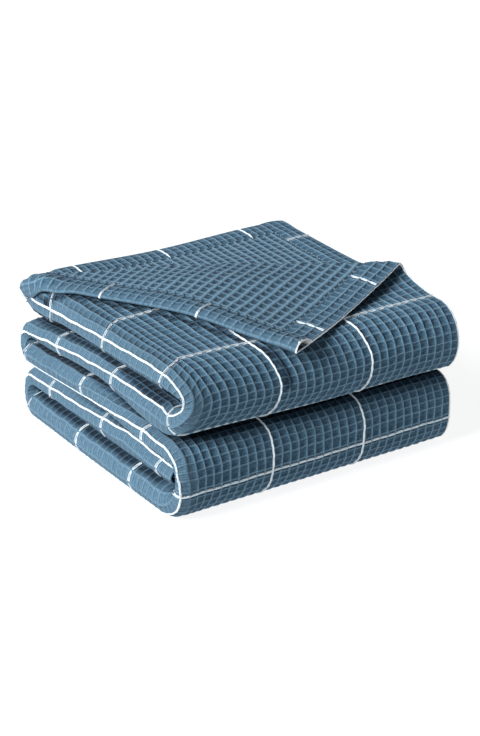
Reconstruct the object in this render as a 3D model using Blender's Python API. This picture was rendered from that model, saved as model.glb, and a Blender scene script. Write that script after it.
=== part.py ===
"""Waffle weave cotton blanket, folded into a stack, with one corner of its top ply turned back.

The cloth is folded lengthwise into a strip of four plies. The strip lies back and forth in five
runs that are joined by four turns. The front is at -Y and the long folded crest is at -X.
"""

import math
from typing import NamedTuple

import bpy
import numpy as np

MM = 0.001

# Woven cloth. White lines divide it into square panes. Its two inner plies are a little narrower.
PANE = 100 * MM
SHEET = 2.4 * MM
PLY_PANES = 3
INNER_PLY_PANES = 2.75
CLOTH_PANES_ACROSS = 2 * (PLY_PANES + INNER_PLY_PANES)
STRIP_RIGHT = PLY_PANES * PANE
RIGHT_CREST = 274 * MM
INNER_HEM = 299 * MM

# Crests of the lengthwise folds, in multiples of the pitch between plies.
OUTER_CREST_DEPTH = 2.0
OUTER_CREST_LENGTH = 2.85
OUTER_CREST_FULLNESS = 2.3
INNER_CREST_INSET = 1.1
SMALL_CREST_LENGTH = 0.785


class Run(NamedTuple):
    """One flat run of the strip. Each group of three is at its start, middle and end.

    The insets draw the long crest in, and the sags lower the second ply beside it.
    """

    y_start: float
    y_end: float
    heights: tuple
    pitches: tuple
    insets: tuple
    sags: tuple
    panes_start: float
    panes_end: float


class Turn(NamedTuple):
    """A turn from one run to the next: how far it bulges, its ply pitch, and its drawn-in crest."""

    reach: float
    pitch: float
    inset: float
    fullness: float


FRONT_TURN_Y = 30 * MM
BACK_TURN_Y = 269 * MM
FLOOR = -7 * MM
BOTTOM_PITCH = 9.3 * MM
BOTTOM_HEIGHT = FLOOR + 1.5 * BOTTOM_PITCH + SHEET / 2
NO_SAG = (0.0, 0.0, 0.0)
NO_INSET = (0.0, 0.0, 0.0)

RUNS = (
    Run(
        289 * MM,
        FRONT_TURN_Y,
        (126.5 * MM, 126 * MM, 121 * MM),
        (9 * MM, 8.4 * MM, 7 * MM),
        (3 * MM, 0.0, 0.0),
        (9 * MM, 3 * MM, 0.0),
        0.0,
        2.59,
    ),
    Run(
        FRONT_TURN_Y,
        BACK_TURN_Y,
        (81 * MM, 94 * MM, 85 * MM),
        (9 * MM, 8.2 * MM, 5.5 * MM),
        NO_INSET,
        NO_SAG,
        3.66,
        6.06,
    ),
    Run(
        BACK_TURN_Y,
        FRONT_TURN_Y,
        (62 * MM, 66 * MM, 55.5 * MM),
        (5.5 * MM, 6.8 * MM, 4.6 * MM),
        (-5 * MM, -2.5 * MM, 0.0),
        NO_SAG,
        6.52,
        8.8,
    ),
    Run(
        FRONT_TURN_Y,
        266 * MM,
        (BOTTOM_HEIGHT,) * 3,
        (BOTTOM_PITCH,) * 3,
        (-4 * MM, -4 * MM, -3 * MM),
        NO_SAG,
        10.01,
        12.43,
    ),
    Run(
        266 * MM,
        17 * MM,
        (37 * MM, 38.5 * MM, 35.5 * MM),
        (6 * MM, 8.6 * MM, 4.2 * MM),
        NO_INSET,
        NO_SAG,
        13.14,
        15.7,
    ),
)
TURNS = (
    Turn(25.4 * MM, 3.6 * MM, 9 * MM, 2.0),
    Turn(13 * MM, 3.8 * MM, 1 * MM, 2.0),
    Turn(25.4 * MM, 3.6 * MM, 3 * MM, 2.8),
    Turn(13 * MM, 3.8 * MM, 0.5 * MM, 2.0),
)
# The top ply sags beside the crest by a share of what the second ply does.
TOP_SAG_SHARE = 0.4
SAG_REACH = 70 * MM
CLOTH_PANES_ALONG = RUNS[-1].panes_end

# The turned-back corner folds about a line across the top ply. Its places are in metres of cloth:
# across from the long crest, and along from the end hem.
FOLD_START = (0 * MM, 12 * MM)
FOLD_END = (300 * MM, 200 * MM)
FOLD_RADII = (2.2 * MM, 4.6 * MM, 3.2 * MM)
FOLD_LIFTS = (0.5 * MM, 2 * MM, 11 * MM)
FOLD_LEAST_PANES = 0.035
FOLD_REACH_ACROSS = PLY_PANES + 0.5
FOLD_REACH_ALONG = 4.0
UNDER_LIFT_LENGTH = 52 * MM
UNDER_LIFT_END = PLY_PANES + 0.1
UNDER_LIFT_FADE = 0.3
FLAP_SLOPE_LENGTH = 110 * MM
FLAP_SLOPE_LEAST = 6 * MM
FLAP_SLOPE_POWER = 1.5
FLAP_REST_GAP = 3.6 * MM
FLAP_BILLOW = 5 * MM
FLAP_BILLOW_RISE = 50 * MM
FLAP_BILLOW_FALL = 60 * MM
FLAP_BILLOW_LEFT = 0.6
FLAP_DRAW = 0.945
FLAP_SHEAR = 0.025

# The turned corner's tip is pulled out a little.
TIP_STRETCH = 0.103
TIP_START = 1.2
TIP_FULL = 0.24

# Where the turned corner reaches over the front edge, it goes nearly straight on.
OVERHANG_START = 2.45
OVERHANG_DROOP = 2.5 * MM
OVERHANG_PANES = 0.5

# Hems are turned to the reverse and are thicker there.
HEM_BAND = 27 * MM
HEM_RISE = 1.2 * MM
HEM_RISE_SHARE = 0.3
HEM_FULLNESS = 0.7
FLAP_HEM_RISE = 3.0 * MM
FLAP_HEM_END = PLY_PANES - 0.3

# The lower front lobe stands back a little towards the right.
LOBE_SKEW = 9 * MM
LOBE_SKEW_DEPTH = 60 * MM
LOBE_SKEW_TOP = 68 * MM
LOBE_SKEW_FADE = 6 * MM

# The upper front lobe sinks a little towards the right.
LOBE_TILT = 3 * MM
LOBE_TILT_LEVELS = (40 * MM, 72 * MM, 96 * MM, 142 * MM)
LOBE_TILT_DEPTH = 120 * MM

# Soft unevenness of the upper layers.
WAVE_HEIGHT = 1.6 * MM
WAVE_LENGTH_X = 230 * MM
WAVE_LENGTH_Y = 310 * MM
WAVE_START = 0.6
WAVE_FOOT = 26 * MM
WAVE_FULL = 110 * MM

# Grid: steps along the cloth, and steps across each ply and each crest.
FLAP_STEPS = 5
FOLD_STEPS = 8
UNDER_FLAP_STEPS = 4
TURN_STEPS = 8
RUN_STEPS = 4
COLUMN_STEPS = (9, 6, 4, 4, 4, 4, 4)
TOP_PLY_CROWDING = 1.7

CLOTH_COLOUR = (0.115, 0.235, 0.335, 1.0)
CLOTH_ROUGHNESS = 0.92


def smooth(value):
    """A soft step from 0 to 1."""
    value = min(max(value, 0.0), 1.0)
    return value * value * (3.0 - 2.0 * value)


def three_point(values, share):
    """A soft curve through a value at the start, the middle and the end."""
    start, middle, end = values
    if share < 0.5:
        return start + (middle - start) * smooth(2.0 * share)
    return middle + (end - middle) * smooth(2.0 * share - 1.0)


def strip_middle(panes):
    """Middle of the strip at a woven length: its y, z, ply pitch, crest inset and second ply's sag."""
    for index, run in enumerate(RUNS):
        last = index == len(RUNS) - 1
        if panes <= run.panes_end or last:
            share = (panes - run.panes_start) / (run.panes_end - run.panes_start)
            y = run.y_start + (run.y_end - run.y_start) * share
            groups = (run.heights, run.pitches, run.insets, run.sags)
            return (y, *(three_point(group, share) for group in groups))
        following = RUNS[index + 1]
        if panes < following.panes_start:
            return turn_middle(run, TURNS[index], following, panes)
    raise ValueError(f"no run at {panes} panes")


def turn_middle(run, turn, following, panes):
    """Middle of the strip inside a turn, which is half of a rounded oval."""
    share = (panes - run.panes_end) / (following.panes_start - run.panes_end)
    angle = math.pi * share
    power = 2.0 / turn.fullness
    outward = math.copysign(1.0, run.y_end - run.y_start)
    side = math.sin(angle)
    upright = math.cos(angle)
    middle_z = (run.heights[2] + following.heights[0]) / 2
    half_height = (run.heights[2] - following.heights[0]) / 2
    y = run.y_end + outward * turn.reach * side**power
    z = middle_z + half_height * math.copysign(abs(upright) ** power, upright)
    run_pitch = run.pitches[2] + (following.pitches[0] - run.pitches[2]) * share
    pitch = run_pitch + (turn.pitch - run_pitch) * side**2
    inset = run.insets[2] + (following.insets[0] - run.insets[2]) * share + turn.inset * side**2
    sag = run.sags[2] + (following.sags[0] - run.sags[2]) * share
    return y, z, pitch, inset, sag


def column_anchors(pitch):
    """Places across the cloth, in panes, where its plies and crests meet."""
    outer = OUTER_CREST_LENGTH * pitch / PANE
    small = SMALL_CREST_LENGTH * pitch / PANE
    first = PLY_PANES
    second = first + INNER_PLY_PANES
    third = second + INNER_PLY_PANES
    return (
        0.0,
        first - outer,
        first + outer,
        second - small,
        second + small,
        third - small,
        third + small,
        CLOTH_PANES_ACROSS,
    )


def profile(across, pitch, left, sag):
    """Section of the strip: x, and height above its middle on the side of the top ply."""
    anchors = column_anchors(pitch)
    section = min(int(np.searchsorted(anchors, across, side="right")) - 1, len(anchors) - 2)
    section = max(section, 0)
    share = (across - anchors[section]) / (anchors[section + 1] - anchors[section])
    angle = math.pi * (share - 0.5)
    crest_x = left + OUTER_CREST_DEPTH * pitch
    right_x = RIGHT_CREST - pitch / 2
    inner_x = left + (INNER_CREST_INSET + 0.5) * pitch
    if section == 0:
        x = STRIP_RIGHT + (crest_x - STRIP_RIGHT) * share
        return x, 1.5 * pitch - TOP_SAG_SHARE * sag * smooth(1.0 - (x - crest_x) / SAG_REACH)
    if section == 1:
        power = 2.0 / OUTER_CREST_FULLNESS
        half_height = 1.5 * pitch + (1.0 - TOP_SAG_SHARE) * sag / 2
        rise = math.copysign(abs(math.sin(angle)) ** power, -angle)
        x = crest_x - OUTER_CREST_DEPTH * pitch * math.cos(angle) ** power
        return x, half_height * rise - (1.0 + TOP_SAG_SHARE) * sag / 2
    if section == 2:
        x = crest_x + (right_x - crest_x) * share
        return x, -1.5 * pitch - sag * smooth(1.0 - (x - crest_x) / SAG_REACH)
    if section == 3:
        return right_x + 0.5 * pitch * math.cos(angle), pitch * (0.5 * math.sin(angle) - 1.0)
    if section == 4:
        return right_x + (inner_x - right_x) * share, -0.5 * pitch
    if section == 5:
        return inner_x - 0.5 * pitch * math.cos(angle), 0.5 * pitch * math.sin(angle)
    return inner_x + (INNER_HEM - inner_x) * share, 0.5 * pitch


def strip_point(across, along):
    """Middle of the cloth, before the corner is turned back, at a place given in panes."""
    step = 0.002
    y, z, pitch, inset, sag = strip_middle(along)
    y_before, z_before = strip_middle(max(along - step, 0.0))[:2]
    y_after, z_after = strip_middle(along + step)[:2]
    tangent = np.array([y_after - y_before, z_after - z_before])
    tangent /= np.linalg.norm(tangent)
    x, height = profile(across, pitch, inset, sag)
    return np.array([x, y + tangent[1] * height, z - tangent[0] * height])


def strip_normal(across, along):
    """Outward direction of the face of the cloth on the strip."""
    step = 0.01
    by_across = strip_point(across + step, along) - strip_point(across - step, along)
    by_along = strip_point(across, along + step) - strip_point(across, max(along - step, 0.0))
    normal = np.cross(by_across, by_along)
    return normal / np.linalg.norm(normal)


def fold_frame():
    """Start of the corner's fold line, its direction, and the direction towards the hem."""
    start = np.array(FOLD_START)
    direction = np.array(FOLD_END) - start
    length = np.linalg.norm(direction)
    direction /= length
    return start, direction, np.array([direction[1], -direction[0]]), length


def cloth_point(across, along):
    """Middle of the cloth at a place given in panes, with the corner turned back."""
    start, direction, towards_hem, length = fold_frame()
    place = np.array([(PLY_PANES - across) * PANE, along * PANE]) - start
    beyond = float(place @ towards_hem)
    out_of_reach = across > FOLD_REACH_ACROSS or along > FOLD_REACH_ALONG
    if out_of_reach or beyond < -UNDER_LIFT_LENGTH:
        return strip_point(across, along)
    run_along = float(place @ direction)
    share = min(max(run_along / length, 0.0), 1.0)
    radius = three_point(FOLD_RADII, share)
    lift = three_point(FOLD_LIFTS, share)
    half_arc = math.pi * radius / 2
    under_lift = lift * max(1.0 - abs(beyond) / UNDER_LIFT_LENGTH, 0.0) ** 2
    under_lift *= smooth((UNDER_LIFT_END - across) / UNDER_LIFT_FADE)
    if beyond <= -half_arc:
        return strip_point(across, along) + np.array([0.0, 0.0, under_lift])
    if beyond < half_arc:
        angle = (beyond + half_arc) / radius
        shift = -half_arc + radius * math.sin(angle)
        height = radius * (1.0 - math.cos(angle))
        height += under_lift + (lift - under_lift) * smooth(angle / math.pi)
    else:
        tip = smooth((TIP_START - across) / (TIP_START - TIP_FULL))
        shift = -half_arc - (FLAP_DRAW + TIP_STRETCH * tip) * (beyond - half_arc)
        run_along += FLAP_SHEAR * (beyond - half_arc)
        to_hem = (start[1] + run_along * direction[1]) / direction[0]
        slope_length = min(max(to_hem - half_arc, FLAP_SLOPE_LEAST), FLAP_SLOPE_LENGTH)
        slope = max(1.0 - (beyond - half_arc) / slope_length, 0.0) ** FLAP_SLOPE_POWER
        height = FLAP_REST_GAP + (2.0 * radius + lift - FLAP_REST_GAP) * slope
        billow = FLAP_BILLOW * math.sin(math.pi * share) ** 2 * smooth(beyond / FLAP_BILLOW_RISE)
        inner = smooth((to_hem - beyond) / FLAP_BILLOW_FALL)
        height += billow * (FLAP_BILLOW_LEFT + (1.0 - FLAP_BILLOW_LEFT) * inner)
    folded = start + run_along * direction + shift * towards_hem
    new_across = PLY_PANES - folded[0] / PANE
    new_along = max(folded[1] / PANE, 0.0)
    under_along = min(new_along, OVERHANG_START)
    over = new_along - under_along
    droop = OVERHANG_DROOP * (over / OVERHANG_PANES) ** 2
    point = strip_point(new_across, under_along) + height * strip_normal(new_across, under_along)
    return point - np.array([0.0, over * PANE, droop])


def uneven(point):
    """The stack's own unevenness, moving every layer alike and leaving the underside flat."""
    x, y, z = point
    sideways = min(max(x / STRIP_RIGHT, 0.0), 1.0)
    skew = smooth((LOBE_SKEW_TOP + LOBE_SKEW_FADE - z) / LOBE_SKEW_FADE)
    y += LOBE_SKEW * sideways * skew * max(1.0 - max(y, 0.0) / LOBE_SKEW_DEPTH, 0.0)
    foot, low, high, top = LOBE_TILT_LEVELS
    level = smooth((z - foot) / (low - foot)) * smooth((top - z) / (top - high))
    z -= LOBE_TILT * (sideways - 0.5) * level * smooth(1.0 - y / LOBE_TILT_DEPTH)
    wave = math.sin(2 * math.pi * x / WAVE_LENGTH_X + WAVE_START)
    wave *= math.cos(2 * math.pi * y / WAVE_LENGTH_Y)
    z += WAVE_HEIGHT * wave * smooth((z - WAVE_FOOT) / (WAVE_FULL - WAVE_FOOT))
    return np.array([x, y, z])


def row_ends():
    """Where each row of the grid crosses the top ply, in panes: at the long crest and at the side hem."""
    arc = [math.pi * radius / 2 / PANE for radius in (FOLD_RADII[0], FOLD_RADII[2])]
    crest, hem = FOLD_START[1] / PANE, FOLD_END[1] / PANE
    slope = math.hypot(hem - crest, PLY_PANES) / PLY_PANES
    fold_open = (max(crest - arc[0] * slope, FOLD_LEAST_PANES), hem - arc[1] * slope)
    fold_shut = (crest + arc[0] * slope, hem + arc[1] * slope)
    first_run = RUNS[0].panes_end
    rows = []
    rows += blend((0.0, 0.0), fold_open, FLAP_STEPS)
    rows += blend(fold_open, fold_shut, FOLD_STEPS)
    rows += blend(fold_shut, (first_run, first_run), UNDER_FLAP_STEPS)
    for index, run in enumerate(RUNS[1:]):
        rows += blend((RUNS[index].panes_end,) * 2, (run.panes_start,) * 2, TURN_STEPS)
        rows += blend((run.panes_start,) * 2, (run.panes_end,) * 2, RUN_STEPS)
    rows.append((CLOTH_PANES_ALONG,) * 2)
    return rows


def blend(first, last, steps):
    """Even steps from one pair to another, without the last."""
    shares = [step / steps for step in range(steps)]
    return [tuple(a + (b - a) * share for a, b in zip(first, last)) for share in shares]


def column_places(pitch):
    """Places across the cloth, in panes, of the grid's columns."""
    anchors = column_anchors(pitch)
    places = []
    for section, steps in enumerate(COLUMN_STEPS):
        width = anchors[section + 1] - anchors[section]
        shares = [step / steps for step in range(steps)]
        if section == 0:
            shares = [1.0 - (1.0 - share) ** TOP_PLY_CROWDING for share in shares]
        places += [anchors[section] + width * share for share in shares]
    places.append(anchors[-1])
    return places


def grid_places():
    """Across and along, in panes, of every point of the grid."""
    places = []
    for at_crest, at_hem in row_ends():
        row = []
        for across in column_places(strip_middle(at_crest)[2]):
            share = min(across / PLY_PANES, 1.0)
            row.append((across, at_hem + (at_crest - at_hem) * share))
        places.append(row)
    return np.array(places)


def hem_rise(across, along):
    """Extra thickness on the reverse, where the hems are turned."""
    room = HEM_RISE_SHARE * (strip_middle(along)[2] - SHEET)
    rise = 0.0
    on_flap = across < FLAP_HEM_END
    edges = (along, CLOTH_PANES_ALONG - along, across, CLOTH_PANES_ACROSS - across)
    for index, place in enumerate(edges):
        inwards = place * PANE / HEM_BAND
        if inwards >= 1.0:
            continue
        height = FLAP_HEM_RISE if index == 0 and on_flap else min(HEM_RISE, room)
        rise = max(rise, height * math.sin(math.pi * inwards) ** HEM_FULLNESS if inwards > 0 else 0.0)
    return rise


def sheet_surfaces():
    """Points of the face and of the reverse, each on the same grid."""
    places = grid_places()
    shape = places.shape[:2]
    middle = np.empty(shape + (3,))
    rises = np.empty(shape)
    for row in range(shape[0]):
        for column in range(shape[1]):
            across, along = places[row, column]
            middle[row, column] = uneven(cloth_point(across, along))
            rises[row, column] = hem_rise(across, along)
    by_row = np.gradient(middle, axis=0)
    by_column = np.gradient(middle, axis=1)
    normals = np.cross(by_column, by_row)
    normals /= np.linalg.norm(normals, axis=2, keepdims=True)
    face = middle + normals * SHEET / 2
    reverse = middle - normals * (SHEET / 2 + rises[..., None])
    return face, reverse


def grid_faces(rows, columns):
    """Quads of the face, the reverse and the rim of a closed sheet."""
    count = rows * columns

    def at(row, column, side):
        return side * count + row * columns + column

    faces = []
    for row in range(rows - 1):
        for column in range(columns - 1):
            corners = ((row, column), (row, column + 1), (row + 1, column + 1), (row + 1, column))
            faces.append([at(*corner, 0) for corner in corners])
            faces.append([at(*corner, 1) for corner in reversed(corners)])
    edge = [(0, column) for column in range(columns - 1)]
    edge += [(row, columns - 1) for row in range(rows - 1)]
    edge += [(rows - 1, column) for column in range(columns - 1, 0, -1)]
    edge += [(row, 0) for row in range(rows - 1, 0, -1)]
    for here, following in zip(edge, edge[1:] + edge[:1]):
        faces.append([at(*here, 0), at(*here, 1), at(*following, 1), at(*following, 0)])
    return faces


def cotton_material():
    """Dusty blue cotton, matt."""
    material = bpy.data.materials.new("blue_waffle_cotton")
    material.use_nodes = True
    shader = material.node_tree.nodes["Principled BSDF"]
    shader.inputs["Base Color"].default_value = CLOTH_COLOUR
    shader.inputs["Roughness"].default_value = CLOTH_ROUGHNESS
    shader.inputs["Metallic"].default_value = 0.0
    return material


def make_blanket():
    """The folded cloth as one closed sheet, standing on z = 0 with its box centred on the origin."""
    face, reverse = sheet_surfaces()
    points = np.concatenate([face.reshape(-1, 3), reverse.reshape(-1, 3)])
    low, high = points.min(axis=0), points.max(axis=0)
    points -= np.array([(low[0] + high[0]) / 2, (low[1] + high[1]) / 2, low[2]])
    mesh = bpy.data.meshes.new("waffle_blanket")
    mesh.from_pydata(points.tolist(), [], grid_faces(*face.shape[:2]))
    mesh.materials.append(cotton_material())
    mesh.shade_smooth()
    mesh.update()
    blanket = bpy.data.objects.new("waffle_blanket", mesh)
    bpy.context.scene.collection.objects.link(blanket)
    return blanket


def main():
    for leftover in list(bpy.data.objects):
        bpy.data.objects.remove(leftover)
    make_blanket()


if __name__ == "__main__":
    main()
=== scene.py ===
"""Looks of a waffle weave cotton blanket, folded into a stack with one corner turned back.

The cloth is one closed sheet. A place on it is told in cells of its weave: across from its side hem
and along from its end hem. Eleven cells make a pane of the white windowpane check. The stack's front
is at -Y, its long folded crest at -X, and it stands on z = 0.
"""

import logging
import math
from collections.abc import Callable
from dataclasses import dataclass, field
from enum import Enum
from functools import partial
from typing import Any, NamedTuple

import bpy
import numpy as np
from mathutils import Matrix, Vector


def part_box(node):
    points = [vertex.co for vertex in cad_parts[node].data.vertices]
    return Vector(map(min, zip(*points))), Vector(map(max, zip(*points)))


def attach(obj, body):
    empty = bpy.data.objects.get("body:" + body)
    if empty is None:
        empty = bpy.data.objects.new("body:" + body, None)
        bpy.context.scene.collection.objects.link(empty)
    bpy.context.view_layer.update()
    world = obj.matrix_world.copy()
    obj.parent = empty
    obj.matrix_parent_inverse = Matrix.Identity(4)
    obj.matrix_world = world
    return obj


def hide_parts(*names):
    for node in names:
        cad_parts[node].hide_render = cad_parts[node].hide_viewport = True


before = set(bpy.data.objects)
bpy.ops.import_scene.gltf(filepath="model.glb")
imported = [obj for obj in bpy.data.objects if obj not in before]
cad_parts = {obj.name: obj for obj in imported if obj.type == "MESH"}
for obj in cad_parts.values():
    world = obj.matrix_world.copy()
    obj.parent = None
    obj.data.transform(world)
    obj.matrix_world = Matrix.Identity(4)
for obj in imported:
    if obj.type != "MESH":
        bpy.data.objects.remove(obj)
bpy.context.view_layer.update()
NODE = "waffle_blanket"
BODY = "root"
MM = 0.001
PHOTO_HEIGHT = 736

Array = np.ndarray
Three = tuple[float, float, float]
Tree = bpy.types.NodeTree
Mesh = bpy.types.Mesh
Piece = bpy.types.Object
Material = bpy.types.Material
AddsNode = Callable[..., Any]
Seats = tuple[Array, Array, Array]
log = logging.getLogger("waffle_blanket")


# ---------------------------------------------------------------- small helpers


def soft_step(value: Array) -> Array:
    """Smooth step from 0 to 1, held at both ends."""
    held = np.clip(value, 0.0, 1.0)
    return held * held * (3.0 - 2.0 * held)


def three_point(values: Three, share: Array) -> Array:
    """Soft curve through a value at the start, the middle and the end.

    Args:
        values: The three values.
        share: Places from 0 to 1.

    Returns:
        The curve's value at each place.
    """
    start, middle, end = values
    first = start + (middle - start) * soft_step(2.0 * share)
    second = middle + (end - middle) * soft_step(2.0 * share - 1.0)
    return np.where(share < 0.5, first, second)


def unit(vectors: Array) -> Array:
    """Vectors of length 1 in the same directions."""
    return vectors / np.maximum(np.linalg.norm(vectors, axis=-1, keepdims=True), 1e-12)


def metres(*groups: tuple[float, ...]) -> tuple[tuple[float, ...], ...]:
    """Groups of lengths in millimetres, in metres."""
    return tuple(tuple(value * MM for value in group) for group in groups)


def colour(code: str) -> tuple[float, float, float, float]:
    """Linear colour of six hex digits in sRGB, with an alpha of 1.

    Args:
        code: Red, green and blue, of two hex digits each.

    Returns:
        The linear colour.
    """
    shares = [int(code[start : start + 2], 16) / 255 for start in (0, 2, 4)]
    linear = [s / 12.92 if s <= 0.04045 else ((s + 0.055) / 1.055) ** 2.4 for s in shares]
    return (linear[0], linear[1], linear[2], 1.0)


def add_node(tree: Tree, kind: str, sockets: Any = (), out: int | str = 0, **settings: Any) -> Any:
    """Adds one node to a tree.

    Args:
        tree: The tree.
        kind: The node's type.
        sockets: Its inputs in order, or by key, each a value or another node's output.
        out: Which of its outputs is wanted.
        settings: Its properties.

    Returns:
        That output, or nothing where the node has none.
    """
    node = tree.nodes.new(kind)
    for name, value in settings.items():
        setattr(node, name, value)
    for key, value in sockets.items() if isinstance(sockets, dict) else enumerate(sockets):
        if isinstance(value, bpy.types.NodeSocket):
            tree.links.new(value, node.inputs[key])
        else:
            node.inputs[key].default_value = value
    return node.outputs[out] if node.outputs else None


def mesh_object(name: str, mesh: Mesh) -> Piece:
    """An object at the origin that holds the mesh, in the scene.

    Args:
        name: Its name.
        mesh: What it holds.

    Returns:
        The object.
    """
    made = bpy.data.objects.new(name, mesh)
    bpy.context.scene.collection.objects.link(made)
    return made


# ---------------------------------------------------------------- how the cloth lies


@dataclass(frozen=True)
class Run:
    """One flat run of the folded strip, between two places in panes.

    Each group of three is at its start, middle and end. The insets draw the long crest in, and the
    sags lower the second ply beside it.
    """

    y_start: float
    y_end: float
    panes_start: float
    panes_end: float
    heights: Three
    pitches: Three
    insets: Three = (0.0, 0.0, 0.0)
    sags: Three = (0.0, 0.0, 0.0)

    def groups(self) -> tuple[Three, ...]:
        """The run's groups of three."""
        return self.heights, self.pitches, self.insets, self.sags


@dataclass(frozen=True)
class Turn:
    """A turn between two runs: how far it bulges, its ply pitch, and its drawn-in crest."""

    reach: float
    pitch: float
    inset: float
    fullness: float = 2.0


FRONT = 30 * MM
BACK = 269 * MM
FLOOR = -7 * MM
LOWEST = 8.15  # the middle of four plies, 9.3 mm apart, that lie on the floor

RUNS = (
    Run(289 * MM, FRONT, 0.0, 2.59, *metres((126.5, 126, 121), (9, 8.4, 7), (3, 0, 0), (9, 3, 0))),
    Run(FRONT, BACK, 3.66, 6.06, *metres((81, 94, 85), (9, 8.2, 5.5))),
    Run(BACK, FRONT, 6.52, 8.8, *metres((62, 66, 55.5), (5.5, 6.8, 4.6), (-5, -2.5, 0))),
    Run(FRONT, 266 * MM, 10.01, 12.43, *metres((LOWEST,) * 3, (9.3,) * 3, (-4, -4, -3))),
    Run(266 * MM, 17 * MM, 13.14, 15.7, *metres((37, 38.5, 35.5), (6, 8.6, 4.2))),
)
TURNS = (
    Turn(25.4 * MM, 3.6 * MM, 9 * MM),
    Turn(13 * MM, 3.8 * MM, 1 * MM),
    Turn(25.4 * MM, 3.6 * MM, 3 * MM, 2.8),
    Turn(13 * MM, 3.8 * MM, 0.5 * MM),
)


@dataclass(frozen=True)
class FoldedStrip:
    """Cloth folded lengthwise into four plies, and then laid back and forth in five runs."""

    pane: float = 100 * MM
    outer_ply: float = 3.0
    inner_ply: float = 2.75
    right: float = 300 * MM
    right_crest: float = 274 * MM
    inner_hem: float = 299 * MM
    crest_depth: float = 2.0
    crest_length: float = 2.85
    crest_fullness: float = 2.3
    top_sag: float = 0.4
    sag_reach: float = 70 * MM
    inner_inset: float = 1.1
    small_crest: float = 0.785
    runs: tuple[Run, ...] = RUNS
    turns: tuple[Turn, ...] = TURNS

    def middle(self, along: Array) -> Array:
        """Middle of the strip.

        Args:
            along: Places along the cloth, in panes.

        Returns:
            Rows of the strip's y and z, its ply pitch, its crest's inset and its second ply's sag.
        """
        made = np.zeros((5, *along.shape))
        for run in self.runs:
            inside = (along >= run.panes_start) & ((along <= run.panes_end) | (run is self.runs[-1]))
            share = (along[inside] - run.panes_start) / (run.panes_end - run.panes_start)
            made[0, inside] = run.y_start + (run.y_end - run.y_start) * share
            made[1:, inside] = [three_point(group, share) for group in run.groups()]
        for run, turn, following in zip(self.runs, self.turns, self.runs[1:]):
            inside = (along > run.panes_end) & (along < following.panes_start)
            share = (along[inside] - run.panes_end) / (following.panes_start - run.panes_end)
            side, upright = np.sin(math.pi * share), np.cos(math.pi * share)
            power = 2.0 / turn.fullness
            ends = [(before[2], after[0]) for before, after in zip(run.groups(), following.groups())]
            _, pitch, inset, sag = (start + (end - start) * share for start, end in ends)
            half_height = (ends[0][0] - ends[0][1]) / 2
            y = run.y_end + math.copysign(turn.reach, run.y_end - run.y_start) * side**power
            z = ends[0][0] - half_height + half_height * np.sign(upright) * np.abs(upright) ** power
            pitch = pitch + (turn.pitch - pitch) * side**2
            made[:, inside] = [y, z, pitch, inset + turn.inset * side**2, sag]
        return made

    def profile(self, across: Array, pitch: Array, left: Array, sag: Array) -> tuple[Array, Array]:
        """Section of the strip.

        Args:
            across: Places across the cloth, in panes.
            pitch: Pitch between its plies at each place.
            left: How far the crest is drawn in there.
            sag: How far the second ply sags beside the crest there.

        Returns:
            x, and the height above the strip's middle on the side of the top ply.
        """
        outer = self.crest_length * pitch / self.pane
        small = self.small_crest * pitch / self.pane
        right_fold = self.outer_ply + self.inner_ply
        left_fold = right_fold + self.inner_ply
        crest_x = left + self.crest_depth * pitch
        right_x = self.right_crest - pitch / 2
        inner_x = left + (self.inner_inset + 0.5) * pitch
        edges = [
            self.outer_ply - outer,
            self.outer_ply + outer,
            right_fold - small,
            right_fold + small,
            left_fold - small,
            left_fold + small,
            self.outer_ply + left_fold,
        ]
        shares = [(across - start) / (end - start) for start, end in zip([0.0, *edges], edges)]
        crest, right, inner = (math.pi * (shares[turn] - 0.5) for turn in (1, 3, 5))
        power = 2.0 / self.crest_fullness
        first_x = self.right + (crest_x - self.right) * shares[0]
        second_x = crest_x + (right_x - crest_x) * shares[2]
        places = [
            first_x,
            crest_x - self.crest_depth * pitch * np.abs(np.cos(crest)) ** power,
            second_x,
            right_x + 0.5 * pitch * np.cos(right),
            right_x + (inner_x - right_x) * shares[4],
            inner_x - 0.5 * pitch * np.cos(inner),
        ]
        rise = -np.sign(crest) * np.abs(np.sin(crest)) ** power
        half_height = 1.5 * pitch + (1.0 - self.top_sag) * sag / 2
        heights = [
            1.5 * pitch - self.top_sag * sag * soft_step(1 - (first_x - crest_x) / self.sag_reach),
            half_height * rise - (1.0 + self.top_sag) * sag / 2,
            -1.5 * pitch - sag * soft_step(1 - (second_x - crest_x) / self.sag_reach),
            pitch * (0.5 * np.sin(right) - 1.0),
            -0.5 * pitch,
            0.5 * pitch * np.sin(inner),
        ]
        where = [across < edge for edge in edges[:-1]]
        last_x = inner_x + (self.inner_hem - inner_x) * shares[6]
        return np.select(where, places, last_x), np.select(where, heights, 0.5 * pitch)

    def point(self, across: Array, along: Array) -> Array:
        """Middle of the cloth on the strip.

        Args:
            across: Places across, in panes.
            along: Places along, in panes.

        Returns:
            Points in the stack's own frame.
        """
        step = 0.002
        y, z, *section = self.middle(along)
        before, after = self.middle(np.maximum(along - step, 0.0)), self.middle(along + step)
        forward, upward = np.moveaxis(unit(np.moveaxis(after[:2] - before[:2], 0, -1)), -1, 0)
        x, height = self.profile(across, *section)
        return np.stack([x, y + upward * height, z - forward * height], axis=-1)

    def normal(self, across: Array, along: Array) -> Array:
        """Direction that the cloth's face looks on the strip, at places given in panes.

        Args:
            across: Places across the strip.
            along: Places along it.

        Returns:
            Directions of length 1.
        """
        step = 0.01
        by_across = self.point(across + step, along) - self.point(across - step, along)
        by_along = self.point(across, along + step) - self.point(across, np.maximum(along - step, 0.0))
        return unit(np.cross(by_across, by_along))


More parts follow.
